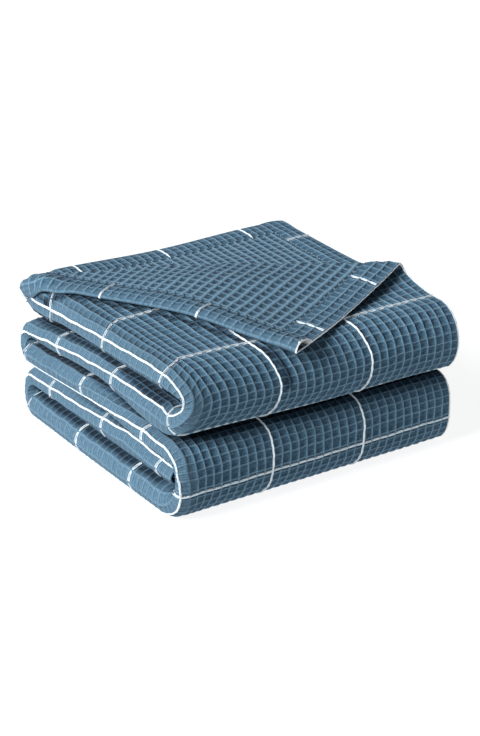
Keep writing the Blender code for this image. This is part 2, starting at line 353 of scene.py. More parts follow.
@dataclass(frozen=True)
class TurnedCorner:
    """The corner of the top ply, turned back about a line that runs across it."""

    start: tuple[float, float] = (0.0, 12 * MM)
    end: tuple[float, float] = (300 * MM, 200 * MM)
    radii: Three = (2.2 * MM, 4.6 * MM, 3.2 * MM)
    lifts: Three = (0.5 * MM, 2 * MM, 11 * MM)
    reach_across: float = 3.5
    reach_along: float = 4.0
    under_length: float = 52 * MM
    under_end: float = 3.1
    under_fade: float = 0.3
    slope_length: float = 110 * MM
    slope_least: float = 6 * MM
    slope_power: float = 1.5
    rest_gap: float = 3.6 * MM
    billow: float = 5 * MM
    billow_rise: float = 50 * MM
    draw: float = 0.945
    shear: float = 0.025
    tip_stretch: float = 0.103
    tip_start: float = 1.2
    tip_full: float = 0.24
    overhang_start: float = 2.45
    overhang_droop: float = 2.5 * MM
    overhang_panes: float = 0.5

    def line(self) -> tuple[Array, Array, float]:
        """The fold line's direction, the direction towards the corner, and its length."""
        direction = np.array(self.end) - np.array(self.start)
        length = float(np.linalg.norm(direction))
        direction = direction / length
        return direction, np.array([direction[1], -direction[0]]), length

    def beyond(self, strip: FoldedStrip, across: Array, along: Array) -> tuple[Array, Array]:
        """Where places lie about the fold line.

        Args:
            strip: The strip that the corner belongs to.
            across: Places across, in panes.
            along: Places along, in panes.

        Returns:
            The distance past the line towards the corner, and the distance along the line.
        """
        direction, towards, _ = self.line()
        place = np.stack([(strip.outer_ply - across) * strip.pane, along * strip.pane], axis=-1)
        place = place - np.array(self.start)
        return place @ towards, place @ direction

    def lay(self, strip: FoldedStrip, across: Array, along: Array) -> Array:
        """Middle of the cloth with the corner turned back.

        Args:
            strip: The strip that the corner belongs to.
            across: Places across, in panes.
            along: Places along, in panes.

        Returns:
            Points in the stack's own frame.
        """
        direction, towards, length = self.line()
        start = np.array(self.start)
        past, along_line = self.beyond(strip, across, along)
        share = np.clip(along_line / length, 0.0, 1.0)
        radius, lift = three_point(self.radii, share), three_point(self.lifts, share)
        half_arc = math.pi * radius / 2
        reached = (across <= self.reach_across) & (along <= self.reach_along) & (past >= -self.under_length)
        under = lift * np.maximum(1.0 - np.abs(past) / self.under_length, 0.0) ** 2
        under = under * soft_step((self.under_end - across) / self.under_fade) * reached
        angle = np.clip((past + half_arc) / radius, 0.0, math.pi)
        far = np.maximum(past - half_arc, 0.0)
        run = along_line + self.shear * far
        tip = soft_step((self.tip_start - across) / (self.tip_start - self.tip_full))
        drawn = (self.draw + self.tip_stretch * tip) * far
        shift = np.where(far > 0, -half_arc - drawn, -half_arc + radius * np.sin(angle))
        to_hem = (start[1] + run * direction[1]) / direction[0]
        slope_length = np.clip(to_hem - half_arc, self.slope_least, self.slope_length)
        slope = np.maximum(1.0 - far / slope_length, 0.0) ** self.slope_power
        over = self.rest_gap + (2.0 * radius + lift - self.rest_gap) * slope
        over += self.billow * np.sin(math.pi * share) ** 2 * soft_step(past / self.billow_rise)
        turning = radius * (1.0 - np.cos(angle)) + under + (lift - under) * soft_step(angle / math.pi)
        height = np.where(far > 0, over, turning)
        folded = start + run[..., None] * direction + shift[..., None] * towards
        new_across = strip.outer_ply - folded[..., 0] / strip.pane
        new_along = np.maximum(folded[..., 1] / strip.pane, 0.0)
        beneath = np.minimum(new_along, self.overhang_start)
        points = strip.point(across, along)
        points[..., 2] += under
        turned = reached & (past > -half_arc)
        lifted = strip.normal(new_across[turned], beneath[turned]) * height[turned][..., None]
        points[turned] = strip.point(new_across[turned], beneath[turned]) + lifted
        out = (new_along - beneath)[turned]
        points[turned, 1] -= out * strip.pane
        points[turned, 2] -= self.overhang_droop * (out / self.overhang_panes) ** 2
        return points


# ---------------------------------------------------------------- the weave on the folded cloth


class ClothSide(Enum):
    """The two sides of the cloth. The value is the direction of its surface."""

    FACE = 1
    REVERSE = -1


FACE, REVERSE = ClothSide.FACE, ClothSide.REVERSE

# How the weave sits on the long crest: the place along in panes, the fold's distance past the crest's
# white line, and how much further along the folded crest the weave lies, both in millimetres.
CREST_SHIFTS = (
    (0.0, 3, 0), (0.35, 1, 13), (0.9, -1.5, 13), (1.3, -3.5, 13), (1.6, -5.5, 13), (2.3, -8.5, 13),
    (2.6, -7, 13), (2.9, -2, 13), (3.2, 4, 6), (3.5, 8, 0), (3.7, 13.5, 0), (4.1, 12, 0),
    (4.5, 6.5, 0), (4.9, 2, 0), (5.7, 1, 0), (6.06, -2, 0), (6.5, 8, 0), (7.4, 9, 0), (8.0, 1, 0),
    (8.5, -6, 0), (9.3, -2, 0), (10.0, -12, 0), (12.43, -12, 0), (13.1, -3, 0), (13.8, -5, 0),
    (14.3, -7, 0), (14.9, -12, 0), (15.7, -10, 0),
)


@dataclass(frozen=True)
class WovenCheck:
    """The weave's count: cells to a pane, cells across and along the cloth, and cells in a hem."""

    per_pane: int = 11
    across: int = 127
    along: int = 173
    hem: int = 3
    mid_pane: float = 5.5


@dataclass(frozen=True)
class WaffleRelief:
    """Height of the weave about the cloth's plain surface: raised ribs round sunk cells."""

    rib: float = 0.6 * MM
    recess: float = 1.15 * MM
    crown: float = 0.6
    face_rib_width: float = 0.1
    face_cross_rib: float = 0.8
    face_cross_width: float = 0.12
    reverse_rib_width: float = 0.26
    reverse_cross_width: float = 0.32
    pressed: float = 0.55

    def height(self, side: ClothSide, across: Array, along: Array, hem: Array) -> Array:
        """Height of the weave.

        Args:
            side: Side of the cloth.
            across: Places across, in cells.
            along: Places along, in cells.
            hem: Whether each place is in a hem, which is pressed and shows the face on both sides.

        Returns:
            The height above the plain surface, in metres.
        """
        gaps = [np.abs(place - np.round(place)) for place in (across, along)]
        widths = (self.face_rib_width, self.face_cross_width)
        warp, weft = (
            self.crown * np.exp(-((gap / width) ** 2)) + (1.0 - self.crown) * (1.0 - soft_step(2.0 * gap))
            for gap, width in zip(gaps, widths)
        )
        raised = np.maximum(warp, self.face_cross_rib * weft)
        if side is REVERSE:
            widths = (self.reverse_rib_width, self.reverse_cross_width)
            ridges = [np.exp(-(((0.5 - gap) / width) ** 2)) for gap, width in zip(gaps, widths)]
            raised = np.where(hem, raised, np.maximum(*ridges))
        return np.where(hem, self.pressed, 1.0) * ((self.rib + self.recess) * raised - self.recess)


@dataclass(frozen=True)
class CrestEnd:
    """A bend where the turned corner meets the long crest, felt round one place of the weave."""

    across: float
    along: float
    reach_across: float
    reach_along: float
    move: Three
    flat_top: float = 0.4

    def moved(self, across: Array, along: Array) -> Array:
        """How far places in cells are moved by it.

        Args:
            across: Places across, in cells.
            along: Places along, in cells.

        Returns:
            The moves, which are whole round its own place and fade out over its reaches.
        """
        near = soft_step(1.0 + self.flat_top - np.abs(across - self.across) / self.reach_across)
        near = near * soft_step(1.0 + self.flat_top - np.abs(along - self.along) / self.reach_along)
        return near[..., None] * np.array(self.move)


CREST_ENDS = (
    CrestEnd(31.0, 0.0, 3.4, 1.8, *metres((0, 0, 7))),
    CrestEnd(33.5, 0.0, 2.0, 1.2, *metres((-1, 1, 4))),
    CrestEnd(31.5, 2.6, 2.4, 1.6, *metres((-1, 1, 1))),
    CrestEnd(93.8, 0.0, 2.4, 1.4, *metres((4, -2, -2))),
    CrestEnd(35.8, 3.2, 1.9, 3.4, *metres((-2.5, 7, -4))),
)


@dataclass(frozen=True)
class BlanketShape:
    """The whole folded cloth: its middle surface, its thickness and its hems, in the row frame."""

    origin: Three
    strip: FoldedStrip = FoldedStrip()
    corner: TurnedCorner = TurnedCorner()
    weave: WovenCheck = WovenCheck()
    relief: WaffleRelief = WaffleRelief()
    sheet: float = 2.4 * MM
    roll_reach: float = 45 * MM
    lag_reach: float = 32 * MM
    wobble: float = 0.028
    sideways_waves: tuple[tuple[float, float], ...] = ((0.83, 1.3), (1.9, -0.7))
    lengthways_waves: tuple[tuple[float, float], ...] = ((1.1, 0.71), (-0.5, 2.1))
    flat_start: float = 1.3
    flat_reach: float = 22 * MM
    flat_edge: float = 0.8
    flattening: float = 0.6
    # These set the painted shade in crevices between two layers: where it starts and ends from the crest,
    # and which slopes take it.
    nook_start: float = 11.5 * MM
    nook_end: float = 45 * MM
    nook_fade: float = 4 * MM
    nook_facing: float = 0.2
    nook_first: float = 3.2
    lobe_facing: float = 0.8
    facing_fade: float = 0.3
    lobe_fade: float = 0.35
    hem_points: int = 260
    # Reach and fade of the painted shadow under the turned corner's hem.
    hem_shade: float = 4.5 * MM
    hem_fade: float = 2.5 * MM
    hem_rise: float = 1.2 * MM
    hem_rise_share: float = 0.3
    hem_fullness: float = 0.7
    flap_hem_rise: float = 3.0 * MM
    flap_hem_end: float = 2.7
    tube_rise: float = 3.2 * MM
    tube_length: float = 35 * MM
    tube_lean: float = 0.62
    lobe_skew: float = 9 * MM
    lobe_skew_depth: float = 60 * MM
    lobe_skew_top: float = 74 * MM
    lobe_skew_fade: float = 6 * MM
    lobe_tilt: float = 3 * MM
    lobe_tilt_levels: tuple[float, ...] = (40 * MM, 72 * MM, 96 * MM, 142 * MM)
    lobe_tilt_depth: float = 120 * MM
    wave_height: float = 1.6 * MM
    wave_across: float = 230 * MM
    wave_along: float = 310 * MM
    wave_start: float = 0.6
    wave_foot: float = 26 * MM
    wave_full: float = 110 * MM

    def from_crest(self, fold_across: Array) -> Array:
        """Distance of places across, in panes of the strip, from the long crest."""
        return np.abs(fold_across - self.strip.outer_ply) * self.strip.pane

    def panes(self, across: Array, along: Array) -> tuple[Array, Array]:
        """Places on the folded strip, with the weave's shifts at the crest.

        Args:
            across: Places across, in cells.
            along: Places along, in cells.

        Returns:
            Places across and along the strip, in panes.
        """
        left_fold = self.strip.outer_ply + 2 * self.strip.inner_ply
        cells = (0.0, left_fold * self.weave.per_pane, float(self.weave.across))
        fold_across = np.interp(across, cells, (0.0, left_fold, self.strip.outer_ply + left_fold))
        fold_along = along / self.weave.per_pane
        places, rolls, lags = np.array(CREST_SHIFTS).T
        near = self.from_crest(fold_across)
        roll = np.interp(fold_along, places, rolls * MM) * soft_step(1 - near / self.roll_reach)
        lag = np.interp(fold_along, places, lags * MM) * soft_step(1 - near / self.lag_reach)
        return fold_across + roll / self.strip.pane, fold_along + lag / self.strip.pane

    def room(self, across: Array, along: Array) -> tuple[Array, Array, Array, Array]:
        """Cells from each place to the end hem, the far end, the side hem and the far side."""
        return along, self.weave.along - along, across, self.weave.across - across

    def wobbled(self, across: Array, along: Array) -> tuple[Array, Array]:
        """Places with the small unevenness of a loom, whose ribs don't run quite straight.

        Args:
            across: Places across, in cells.
            along: Places along, in cells.

        Returns:
            The places moved a little, but not off the cloth's edges.
        """
        held = self.wobble * np.prod([np.clip(cells, 0, 1) for cells in self.room(across, along)], axis=0)
        sideways = sum(np.sin(a * along + b * across) for a, b in self.sideways_waves)
        lengthways = sum(np.sin(a * along + b * across) for a, b in self.lengthways_waves)
        return across + held * sideways, along + held * lengthways

    def middle(self, across: Array, along: Array) -> Array:
        """Middle of the cloth.

        Args:
            across: Places across, in cells.
            along: Places along, in cells.

        Returns:
            Points in the row frame.
        """
        points = self.corner.lay(self.strip, *self.panes(*self.wobbled(across, along)))
        x, y, z = np.moveaxis(points, -1, 0)
        sideways = np.clip(x / self.strip.right, 0.0, 1.0)
        skew = soft_step((self.lobe_skew_top - z) / self.lobe_skew_fade)
        near = np.maximum(1 - np.maximum(y, 0) / self.lobe_skew_depth, 0)
        y = y + self.lobe_skew * sideways * skew * near
        foot, low, high, crown = self.lobe_tilt_levels
        level = soft_step((z - foot) / (low - foot)) * soft_step((crown - z) / (crown - high))
        z = z - self.lobe_tilt * (sideways - 0.5) * level * soft_step(1.0 - y / self.lobe_tilt_depth)
        wave = np.sin(2 * math.pi * x / self.wave_across + self.wave_start)
        wave = wave * np.cos(2 * math.pi * y / self.wave_along)
        raised = soft_step((z - self.wave_foot) / (self.wave_full - self.wave_foot))
        z = z + self.wave_height * wave * raised
        bends = sum(end.moved(across, along) for end in CREST_ENDS)
        return np.stack([x, y, z], axis=-1) + np.array(self.origin) + bends

    def directions(self, across: Array, along: Array) -> tuple[Array, Array, Array]:
        """Directions of the cloth.

        Args:
            across: Places across, in cells.
            along: Places along, in cells.

        Returns:
            The directions across and along the cloth, and the one that its face looks.
        """
        step = 0.1
        low_a, high_a = np.maximum(across - step, 0), np.minimum(across + step, self.weave.across)
        low_b, high_b = np.maximum(along - step, 0), np.minimum(along + step, self.weave.along)
        by_across = unit(self.middle(high_a, along) - self.middle(low_a, along))
        by_along = unit(self.middle(across, high_b) - self.middle(across, low_b))
        return by_across, by_along, unit(np.cross(by_across, by_along))

    def bent(self, across: Array, along: Array) -> Array:
        """How far the weave is pulled flat, at the long crest and at the cloth's two ends.

        Args:
            across: Places across, in cells.
            along: Places along, in cells.

        Returns:
            0 where it stands open, up to 1.
        """
        near = self.from_crest(self.panes(across, along)[0])
        crest = soft_step(self.flat_start - near / self.flat_reach)
        to_end = np.minimum(along, self.weave.along - along)
        return np.maximum(crest, soft_step(1.0 - to_end / self.flat_edge))

    def painted_nook_shade(self, across: Array, along: Array) -> Array:
        """How much painted shade the face takes, between two layers or right under the turned corner's hem.

        Args:
            across: Places across, in cells.
            along: Places along, in cells.

        Returns:
            0 in the open, up to 1.
        """
        fold_across, fold_along = self.panes(across, along)
        near = self.from_crest(fold_across)
        upright = self.directions(across, along)[2][..., 2]
        lobe = np.maximum(soft_step((near - self.nook_end) / self.nook_fade), self.on_lobe(fold_along))
        facing = self.nook_facing * (1 - lobe) + self.lobe_facing * lobe
        depth_and_painted_shade = soft_step((near - self.nook_start) / self.nook_fade)
        depth_and_painted_shade = depth_and_painted_shade * soft_step((np.abs(upright) - facing) / self.facing_fade)
        top = (upright > 0) & (fold_along < self.nook_first)
        depth_and_painted_shade[top] = self.painted_hem_shadow(across[top], along[top])
        return depth_and_painted_shade

    def on_lobe(self, fold_along: Array) -> Array:
        """The front turns, which bulge into the light.

        Args:
            fold_along: Places along, in panes.

        Returns:
            1 on the turns, fading into the runs on both sides.
        """
        share = np.zeros_like(fold_along)
        for before, after in zip(RUNS[0::2], RUNS[1::2]):
            room = np.maximum(before.panes_end - fold_along, fold_along - after.panes_start)
            share = np.maximum(share, soft_step(1 - np.maximum(room, 0) / self.lobe_fade))
        return share

    def painted_hem_shadow(self, across: Array, along: Array) -> Array:
        """Painted shadow in the gap along the turned corner's end hem.

        Args:
            across: Places across on the top run, in cells.
            along: Places along, in cells.

        Returns:
            1 right at the hem, fading away from it.
        """
        hem = np.linspace(0.0, self.strip.outer_ply * self.weave.per_pane, self.hem_points)
        points = self.middle(across, along)[:, :2]
        nearest = np.full(len(points), np.inf)
        for edge in self.middle(hem, np.zeros_like(hem))[:, :2]:
            nearest = np.minimum(nearest, np.linalg.norm(points - edge, axis=1))
        return soft_step((self.hem_shade - nearest) / self.hem_fade)

    def weave_height(self, side: ClothSide, across: Array, along: Array) -> Array:
        """Height of the weave, which is pulled flatter at the crest and at the cloth's ends."""
        height = self.relief.height(side, across, along, self.in_hem(across, along))
        return height * (1.0 - self.flattening * self.bent(across, along))

    def in_hem(self, across: Array, along: Array) -> Array:
        """Whether each place lies in one of the turned hems."""
        return np.min(self.room(across, along), axis=0) < self.weave.hem

    def hem_height(self, across: Array, along: Array) -> Array:
        """Extra thickness on the reverse where the hems are turned.

        Args:
            across: Places across, in cells.
            along: Places along, in cells.

        Returns:
            The extra height, which is most on the turned corner, whose end hem is an open roll.
        """
        fold_across, fold_along = self.panes(across, along)
        spare = self.hem_rise_share * (self.strip.middle(fold_along)[2] - self.sheet)
        pressed = np.minimum(self.hem_rise, spare)
        from_tip = fold_across * self.strip.pane
        roll = self.flap_hem_rise + self.tube_rise * np.exp(-from_tip / self.tube_length)
        shares = [np.clip(cells / self.weave.hem, 0.0, 1.0) for cells in self.room(across, along)]
        leaning = np.sin(math.pi * shares[0] ** self.tube_lean) ** self.hem_fullness
        rises = [np.where(fold_across < self.flap_hem_end, roll, pressed) * leaning]
        rises += [pressed * np.sin(math.pi * share) ** self.hem_fullness for share in shares[1:]]
        return np.maximum(np.max(rises, axis=0), 0.0)

    def surface(self, side: ClothSide, across: Array, along: Array, height: Array | float) -> Array:
        """Points on one side of the cloth.

        Args:
            side: Side of the cloth.
            across: Places across, in cells.
            along: Places along, in cells.
            height: Height above the plain surface, in metres.

        Returns:
            Points in the row frame.
        """
        offset = self.sheet / 2 + height + np.zeros_like(across)
        if side is REVERSE:
            offset = offset + self.hem_height(across, along)
        normal = self.directions(across, along)[2] * side.value
        points = self.middle(across, along) + normal * offset[..., None]
        points[..., 2] = np.maximum(points[..., 2], self.floor())
        return points

    def floor(self) -> float:
        """Height of the floor in the row frame."""
        return self.origin[2] + FLOOR

    def seats(self, side: ClothSide, across: Array, along: Array, height: Array | float, way: int) -> Seats:
        """Where short threads lie on one side of the cloth.

        Args:
            side: Side of the cloth.
            across: Places across, in cells.
            along: Places along, in cells.
            height: Height above the plain surface, in metres.
            way: 0 for threads across the cloth, and 1 for threads along it.

        Returns:
            Their middles, their headings, and the directions away from the cloth.
        """
        directions = self.directions(across, along)
        return self.surface(side, across, along, height), directions[way], directions[2] * side.value


# ---------------------------------------------------------------- finishes


MATH = "ShaderNodeMath"
MIX = "ShaderNodeMix"
RAMP = "ShaderNodeMapRange"
NOISE = "ShaderNodeTexNoise"
SPLIT = "ShaderNodeSeparateXYZ"
VECTOR = "ShaderNodeVectorMath"


def new_finish(name: str, values: dict[str, Any]) -> tuple[Material, bpy.types.Node]:
    """Starts a material.

    Args:
        name: Its name.
        values: The shader's values that are the same all over the surface.

    Returns:
        The material and its shader.
    """
    material = bpy.data.materials.new(name)
    material.use_nodes = True
    shader = material.node_tree.nodes["Principled BSDF"]
    for key, value in values.items():
        shader.inputs[key].default_value = value
    return material, shader


def dressed(material: Material, shader: bpy.types.Node, base: Any, normal: Any) -> Material:
    """The material with its colour and its bump linked to the shader.

    Args:
        material: The material.
        shader: Its shader.
        base: The colour.
        normal: The bumped normal.

    Returns:
        The same material.
    """
    material.node_tree.links.new(base, shader.inputs["Base Color"])
    material.node_tree.links.new(normal, shader.inputs["Normal"])
    return material


@dataclass(frozen=True)
class WaffleCotton:
    """Waffle woven cotton, yarn dyed: soft and matt, pale on its raised ribs and deep blue in its cells;
    the cells' blue is partly painted shade.

    The colours and the bump follow the weave, so they read the cloth's own map, which is in cells.
    A thread is 1.1 mm thick, and is drawn nearly three times as coarse so that it shows. Painted shade
    makes the cells darker on the reverse, and crevices between two layers and the gap under the turned
    corner's hem are painted dark; where the weave is bent, the contrast of ribs and cells, painted shade
    included, is evened out.
    """

    name: str = "blue_waffle_cotton"
    # Ribs paler and cells darker: partly the yarn's own tone, partly painted shade in the cells' hollows.
    rib: str = "6A889B"
    cell: str = "2D4658"
    slub: str = "4A6A81"
    # Cells of the reverse: darker, with painted shade for their deeper pits.
    shadow: str = "2C485C"
    pit_with_painted_shade: str = "182C3D"
    # Painted shade: the colours of crevices between layers and of the gap under the turned corner's hem.
    depth_and_painted_shade: str = "0A141E"
    rib_in_painted_shade: str = "3A556A"
    slub_in_painted_shade: str = "1F3343"
    white: str = "E3E8EA"
    roughness: float = 0.92
    sheen: float = 0.03
    sheen_roughness: float = 0.6
    specular: float = 0.12
    yarn_width: float = 0.11
    dash_width: float = 0.12
    yarn_edge: tuple[float, float] = (0.7, 1.15)
    dash_rib: tuple[float, float] = (0.55, 0.85)
    reverse_least: float = 0.75
    evening: float = 0.75
    even_level: float = 0.6
    threads_per_cell: float = 3.0
    thread_drift: float = 0.6
    thread_depth: float = 0.13
    bent_depth: float = 0.06
    slub_noise: tuple[float, float] = (0.3, 0.75)
    slub_most: float = 0.65
    waver: float = 0.22
    waver_scale: float = 2.6
    slub_scale: float = 3.4
    fibre_scale: float = 9.0
    bump: float = 0.7
    thread_bump: float = 0.3
    twist_bump: float = 0.12
    relief: float = 1.6 * MM
    rib_start: float = 0.04
    thin_ribs: tuple[Three, Three] = ((0.13, 0.3, 1.0), (0.12, 0.24, 0.8))
    broad_ribs: tuple[Three, Three] = ((0.34, 0.42, 1.0), (0.3, 0.34, 0.7))

    def build(self, weave: WovenCheck) -> Material:
        """The material.

        Args:
            weave: Count of the weave, which the map is in.

        Returns:
            A new material.
        """
        values = {"Roughness": self.roughness, "Sheen Weight": self.sheen}
        values |= {"Sheen Roughness": self.sheen_roughness, "Specular IOR Level": self.specular}
        material, shader = new_finish(self.name, values)
        node = partial(add_node, material.node_tree)
        place = node("ShaderNodeUVMap", uv_map="weave")
        split = node(SPLIT, [place]).node.outputs
        layers = ("turned", "reverse", "bent", "painted_nook_shade")
        read = {name: node("ShaderNodeAttribute", out="Fac", attribute_name=name) for name in layers}
        back = node(MATH, [read["reverse"], read["turned"]], operation="SUBTRACT")
        read["plain"] = node(MATH, [1.0, back], operation="SUBTRACT", use_clamp=True)
        read |= {"place": place, "across": split[0], "along": split[1]}
        sockets = {"Vector": place, "Scale": self.waver_scale, "Detail": 2.0, "Roughness": 0.6}
        noise = node(NOISE, sockets, "Color")
        centred = node(VECTOR, [noise, (0.5,) * 3], operation="SUBTRACT")
        moved = node(VECTOR, [centred, (self.waver,) * 3, place], operation="MULTIPLY_ADD")
        uneven = node(SPLIT, [moved]).node.outputs
        read["warp"], weft = self.ribs(node, uneven[:2], read["plain"], self.thin_ribs)
        slopes = self.ribs(node, split[:2], read["plain"], self.broad_ribs)
        read["raised"] = node(MATH, [read["warp"], weft], operation="MAXIMUM")
        bowl = node(MATH, [*slopes], operation="MAXIMUM")
        shades = {0: self.white_lines(node, weave, read), 6: self.blues(node, read), 7: colour(self.white)}
        looks = (node(MIX, shades, 2, data_type="RGBA"), self.threads(node, place, bowl))
        return dressed(material, shader, *looks)

    def ribs(self, node: AddsNode, places: Any, plain: Any, sizes: tuple[Three, Three]) -> list[Any]:
        """How far each place is up a rib, for the ribs along the cloth and for those across it.

        Args:
            node: Adds a node to the material's tree.
            places: Places across and along, in cells.
            plain: Where the weave shows its face, whose ribs lie half a cell from the reverse's.
            sizes: Width on the face, width on the reverse and height, of each kind of rib.

        Returns:
            0 between ribs, up to their height.
        """
        found = []
        for place, (face_width, back_width, top) in zip(places, sizes):
            shift = node(MATH, [plain, -0.5, 0.5], operation="MULTIPLY_ADD")
            moved = node(MATH, [place, shift], operation="ADD")
            gap = node(MATH, [moved, 0.5], operation="PINGPONG")
            width = node(MATH, [plain, face_width - back_width, back_width], operation="MULTIPLY_ADD")
            ends = [gap, self.rib_start, width, top, 0.0]
            found.append(node(RAMP, ends, interpolation_type="SMOOTHSTEP"))
        return found

    def blues(self, node: AddsNode, read: dict[str, Any]) -> Any:
        """The blue of ribs and cells, with its painted shade, its threads across the cloth and the slubs of
        its yarn.

        Args:
            node: Adds a node to the material's tree.
            read: What the cloth's map and attributes say at each place.

        Returns:
            The colour.
        """
        bent = read["bent"]

        def blend(share: Any, first: Any, second: Any) -> Any:
            """The first colour where the share is 0, and the second where it is 1."""
            shades = [colour(shade) if isinstance(shade, str) else shade for shade in (first, second)]
            return node(MIX, {0: share, 6: shades[0], 7: shades[1]}, 2, data_type="RGBA")

        # Painted shade darkens the cells on the reverse, and goes over ribs, cells and slubs in crevices
        # between layers.
        floor = blend(read["painted_nook_shade"], blend(read["plain"], self.pit_with_painted_shade, self.cell), self.depth_and_painted_shade)
        crown = blend(read["painted_nook_shade"], self.rib, self.rib_in_painted_shade)
        slub = blend(read["painted_nook_shade"], blend(bent, self.slub, self.shadow), self.slub_in_painted_shade)
        # Where the weave is bent, the contrast of ribs and cells, painted shade included, is evened out.
        even = node(MATH, [bent, self.evening], operation="MULTIPLY")
        base = blend(node(MIX, {0: even, 2: read["raised"], 3: self.even_level}), floor, crown)
        sockets = {"Vector": read["place"], "Scale": self.slub_scale, "Detail": 3.0, "Roughness": 0.7}
        noise = node(NOISE, sockets)
        drift = node(MATH, [noise, self.thread_drift, read["along"]], operation="MULTIPLY_ADD")
        turn = node(MATH, [drift, 2 * math.pi * self.threads_per_cell], operation="MULTIPLY")
        thread = node(MATH, [turn], operation="SINE")
        depth = node(MATH, [bent, self.bent_depth, self.thread_depth], operation="MULTIPLY_ADD")
        uneven = node(MATH, [thread, depth, noise], operation="MULTIPLY_ADD")
        return blend(node(RAMP, [uneven, *self.slub_noise, 0.0, self.slub_most]), base, slub)

    def white_lines(self, node: AddsNode, weave: WovenCheck, read: dict[str, Any]) -> Any:
        """The white windowpane check: solid lines along the cloth, and dashes between its ribs across.

        Args:
            node: Adds a node to the material's tree.
            weave: Count of the weave.
            read: What the cloth's map and attributes say at each place.

        Returns:
            1 on a white line and 0 elsewhere.
        """
        across, along = read["across"], read["along"]
        seen = node(MATH, [read["reverse"], self.reverse_least], operation="LESS_THAN")
        middle = node(MATH, [along, weave.mid_pane], operation="SUBTRACT")
        lines = []
        for place, width, run, cells in (
            (across, self.yarn_width, along, weave.along),
            (middle, self.dash_width, across, weave.across),
        ):
            gap = node(MATH, [place, weave.per_pane / 2], operation="PINGPONG")
            ends = [gap, width * self.yarn_edge[0], width * self.yarn_edge[1], 1.0, 0.0]
            line = node(RAMP, ends, interpolation_type="SMOOTHSTEP")
            room = node(MATH, [run, cells / 2], operation="PINGPONG")
            near = node(MATH, [room, float(weave.hem)], operation="LESS_THAN")
            band = node(MATH, [near, read["turned"]], operation="MULTIPLY")
            shown = node(MATH, [seen, band], operation="MAXIMUM")
            lines.append(node(MATH, [line, shown], operation="MULTIPLY"))
        between = node(RAMP, [read["warp"], *self.dash_rib, 1.0, 0.0], interpolation_type="SMOOTHSTEP")
        dashes = node(MATH, [lines[1], between], operation="MULTIPLY")
        return node(MATH, [lines[0], dashes], operation="MAXIMUM")

    def threads(self, node: AddsNode, place: Any, raised: Any) -> Any:
        """The bump of ribs and of their threads.

        Args:
            node: Adds a node to the material's tree.
            place: Place on the weave, in cells.
            raised: How far it is up a broad rib.

        Returns:
            The bumped normal.
        """
        sockets = {0: place, "Scale": 2 * math.pi * self.threads_per_cell}
        waves = node(VECTOR, [node(VECTOR, sockets, operation="SCALE")], operation="SINE")
        parts = node(SPLIT, [waves]).node.outputs
        woven = node(MATH, [*parts[:2]], operation="MULTIPLY")
        fibre = node(NOISE, {"Vector": place, "Scale": self.fibre_scale, "Detail": 2.0})
        rough = node(MATH, [woven, self.twist_bump, fibre], operation="MULTIPLY_ADD")
        height = node(MATH, [rough, self.thread_bump, raised], operation="MULTIPLY_ADD")
        return node("ShaderNodeBump", {"Strength": self.bump, "Distance": self.relief, "Height": height})


@dataclass(frozen=True)
class CottonYarn:
    """Plied cotton yarn: matt, a little fluffy, its twist 1.5 mm long and too fine for more than a bump.

    White yarn is given a painted glow: a little light of its own colour, which keeps it bright where it
    lies in shade.
    """

    name: str
    shade: str
    shadow: str
    painted_glow: float = 0.0
    roughness: float = 0.9
    sheen: float = 0.2
    twist: float = 1.5 * MM
    bump: float = 0.4
    relief: float = 0.3 * MM

    def build(self) -> Material:
        """The material."""
        values = {"Roughness": self.roughness, "Sheen Weight": self.sheen}
        # Painted glow: the yarn gives off a little light of its own colour.
        values |= {"Emission Color": colour(self.shade), "Emission Strength": self.painted_glow}
        material, shader = new_finish(self.name, values)
        node = partial(add_node, material.node_tree)
        place = node("ShaderNodeTexCoord", out="Object")
        noise = node(NOISE, {"Vector": place, "Scale": 1 / self.twist, "Detail": 2.0})
        shades = {0: noise, 6: colour(self.shadow), 7: colour(self.shade)}
        bump = node("ShaderNodeBump", {"Strength": self.bump, "Distance": self.relief, "Height": noise})
        return dressed(material, shader, node(MIX, shades, 2, data_type="RGBA"), bump)


# ---------------------------------------------------------------- the woven sheet


class CellForm(Enum):
    """How finely one cell of the weave is made, from a plain patch to all of its nodes."""

    PLAIN = 0
    BENT = 1
    PITTED = 2
    WOVEN = 3


class Block(NamedTuple):
    """Cells that are made in one form, and their first and last rows of nodes across and along."""

    form: CellForm
    i: int
    i_end: int
    j: int
    j_end: int


@dataclass(frozen=True)
class Zone:
    """Cells that take one form, from a first to a last edge across and along."""

    form: CellForm
    across: tuple[int, int] = (0, 127)
    along: tuple[int, int] = (0, 173)
    sides: tuple[ClothSide, ...] = (FACE, REVERSE)


ZONES = (
    Zone(CellForm.PITTED, (0, 33), (110, 137), (FACE,)),
    Zone(CellForm.PITTED, along=(0, 3)),
    Zone(CellForm.PITTED, along=(170, 173)),
    Zone(CellForm.PITTED, (0, 3)),
    Zone(CellForm.PITTED, (124, 127)),
    Zone(CellForm.BENT, (62, 65)),
    Zone(CellForm.BENT, (92, 95)),
    Zone(CellForm.BENT, (31, 36), sides=(REVERSE,)),
    Zone(CellForm.WOVEN, (0, 33), (0, 43), (FACE,)),
    Zone(CellForm.WOVEN, (0, 33), (93, 112), (FACE,)),
    Zone(CellForm.WOVEN, (28, 38), sides=(FACE,)),
    Zone(CellForm.WOVEN, (33, 62), (64, 74), (FACE,)),
    Zone(CellForm.WOVEN, (33, 62), (134, 147), (FACE,)),
)
TURN_ROWS = ((28, 42), (66, 73), (97, 112), (136, 146))


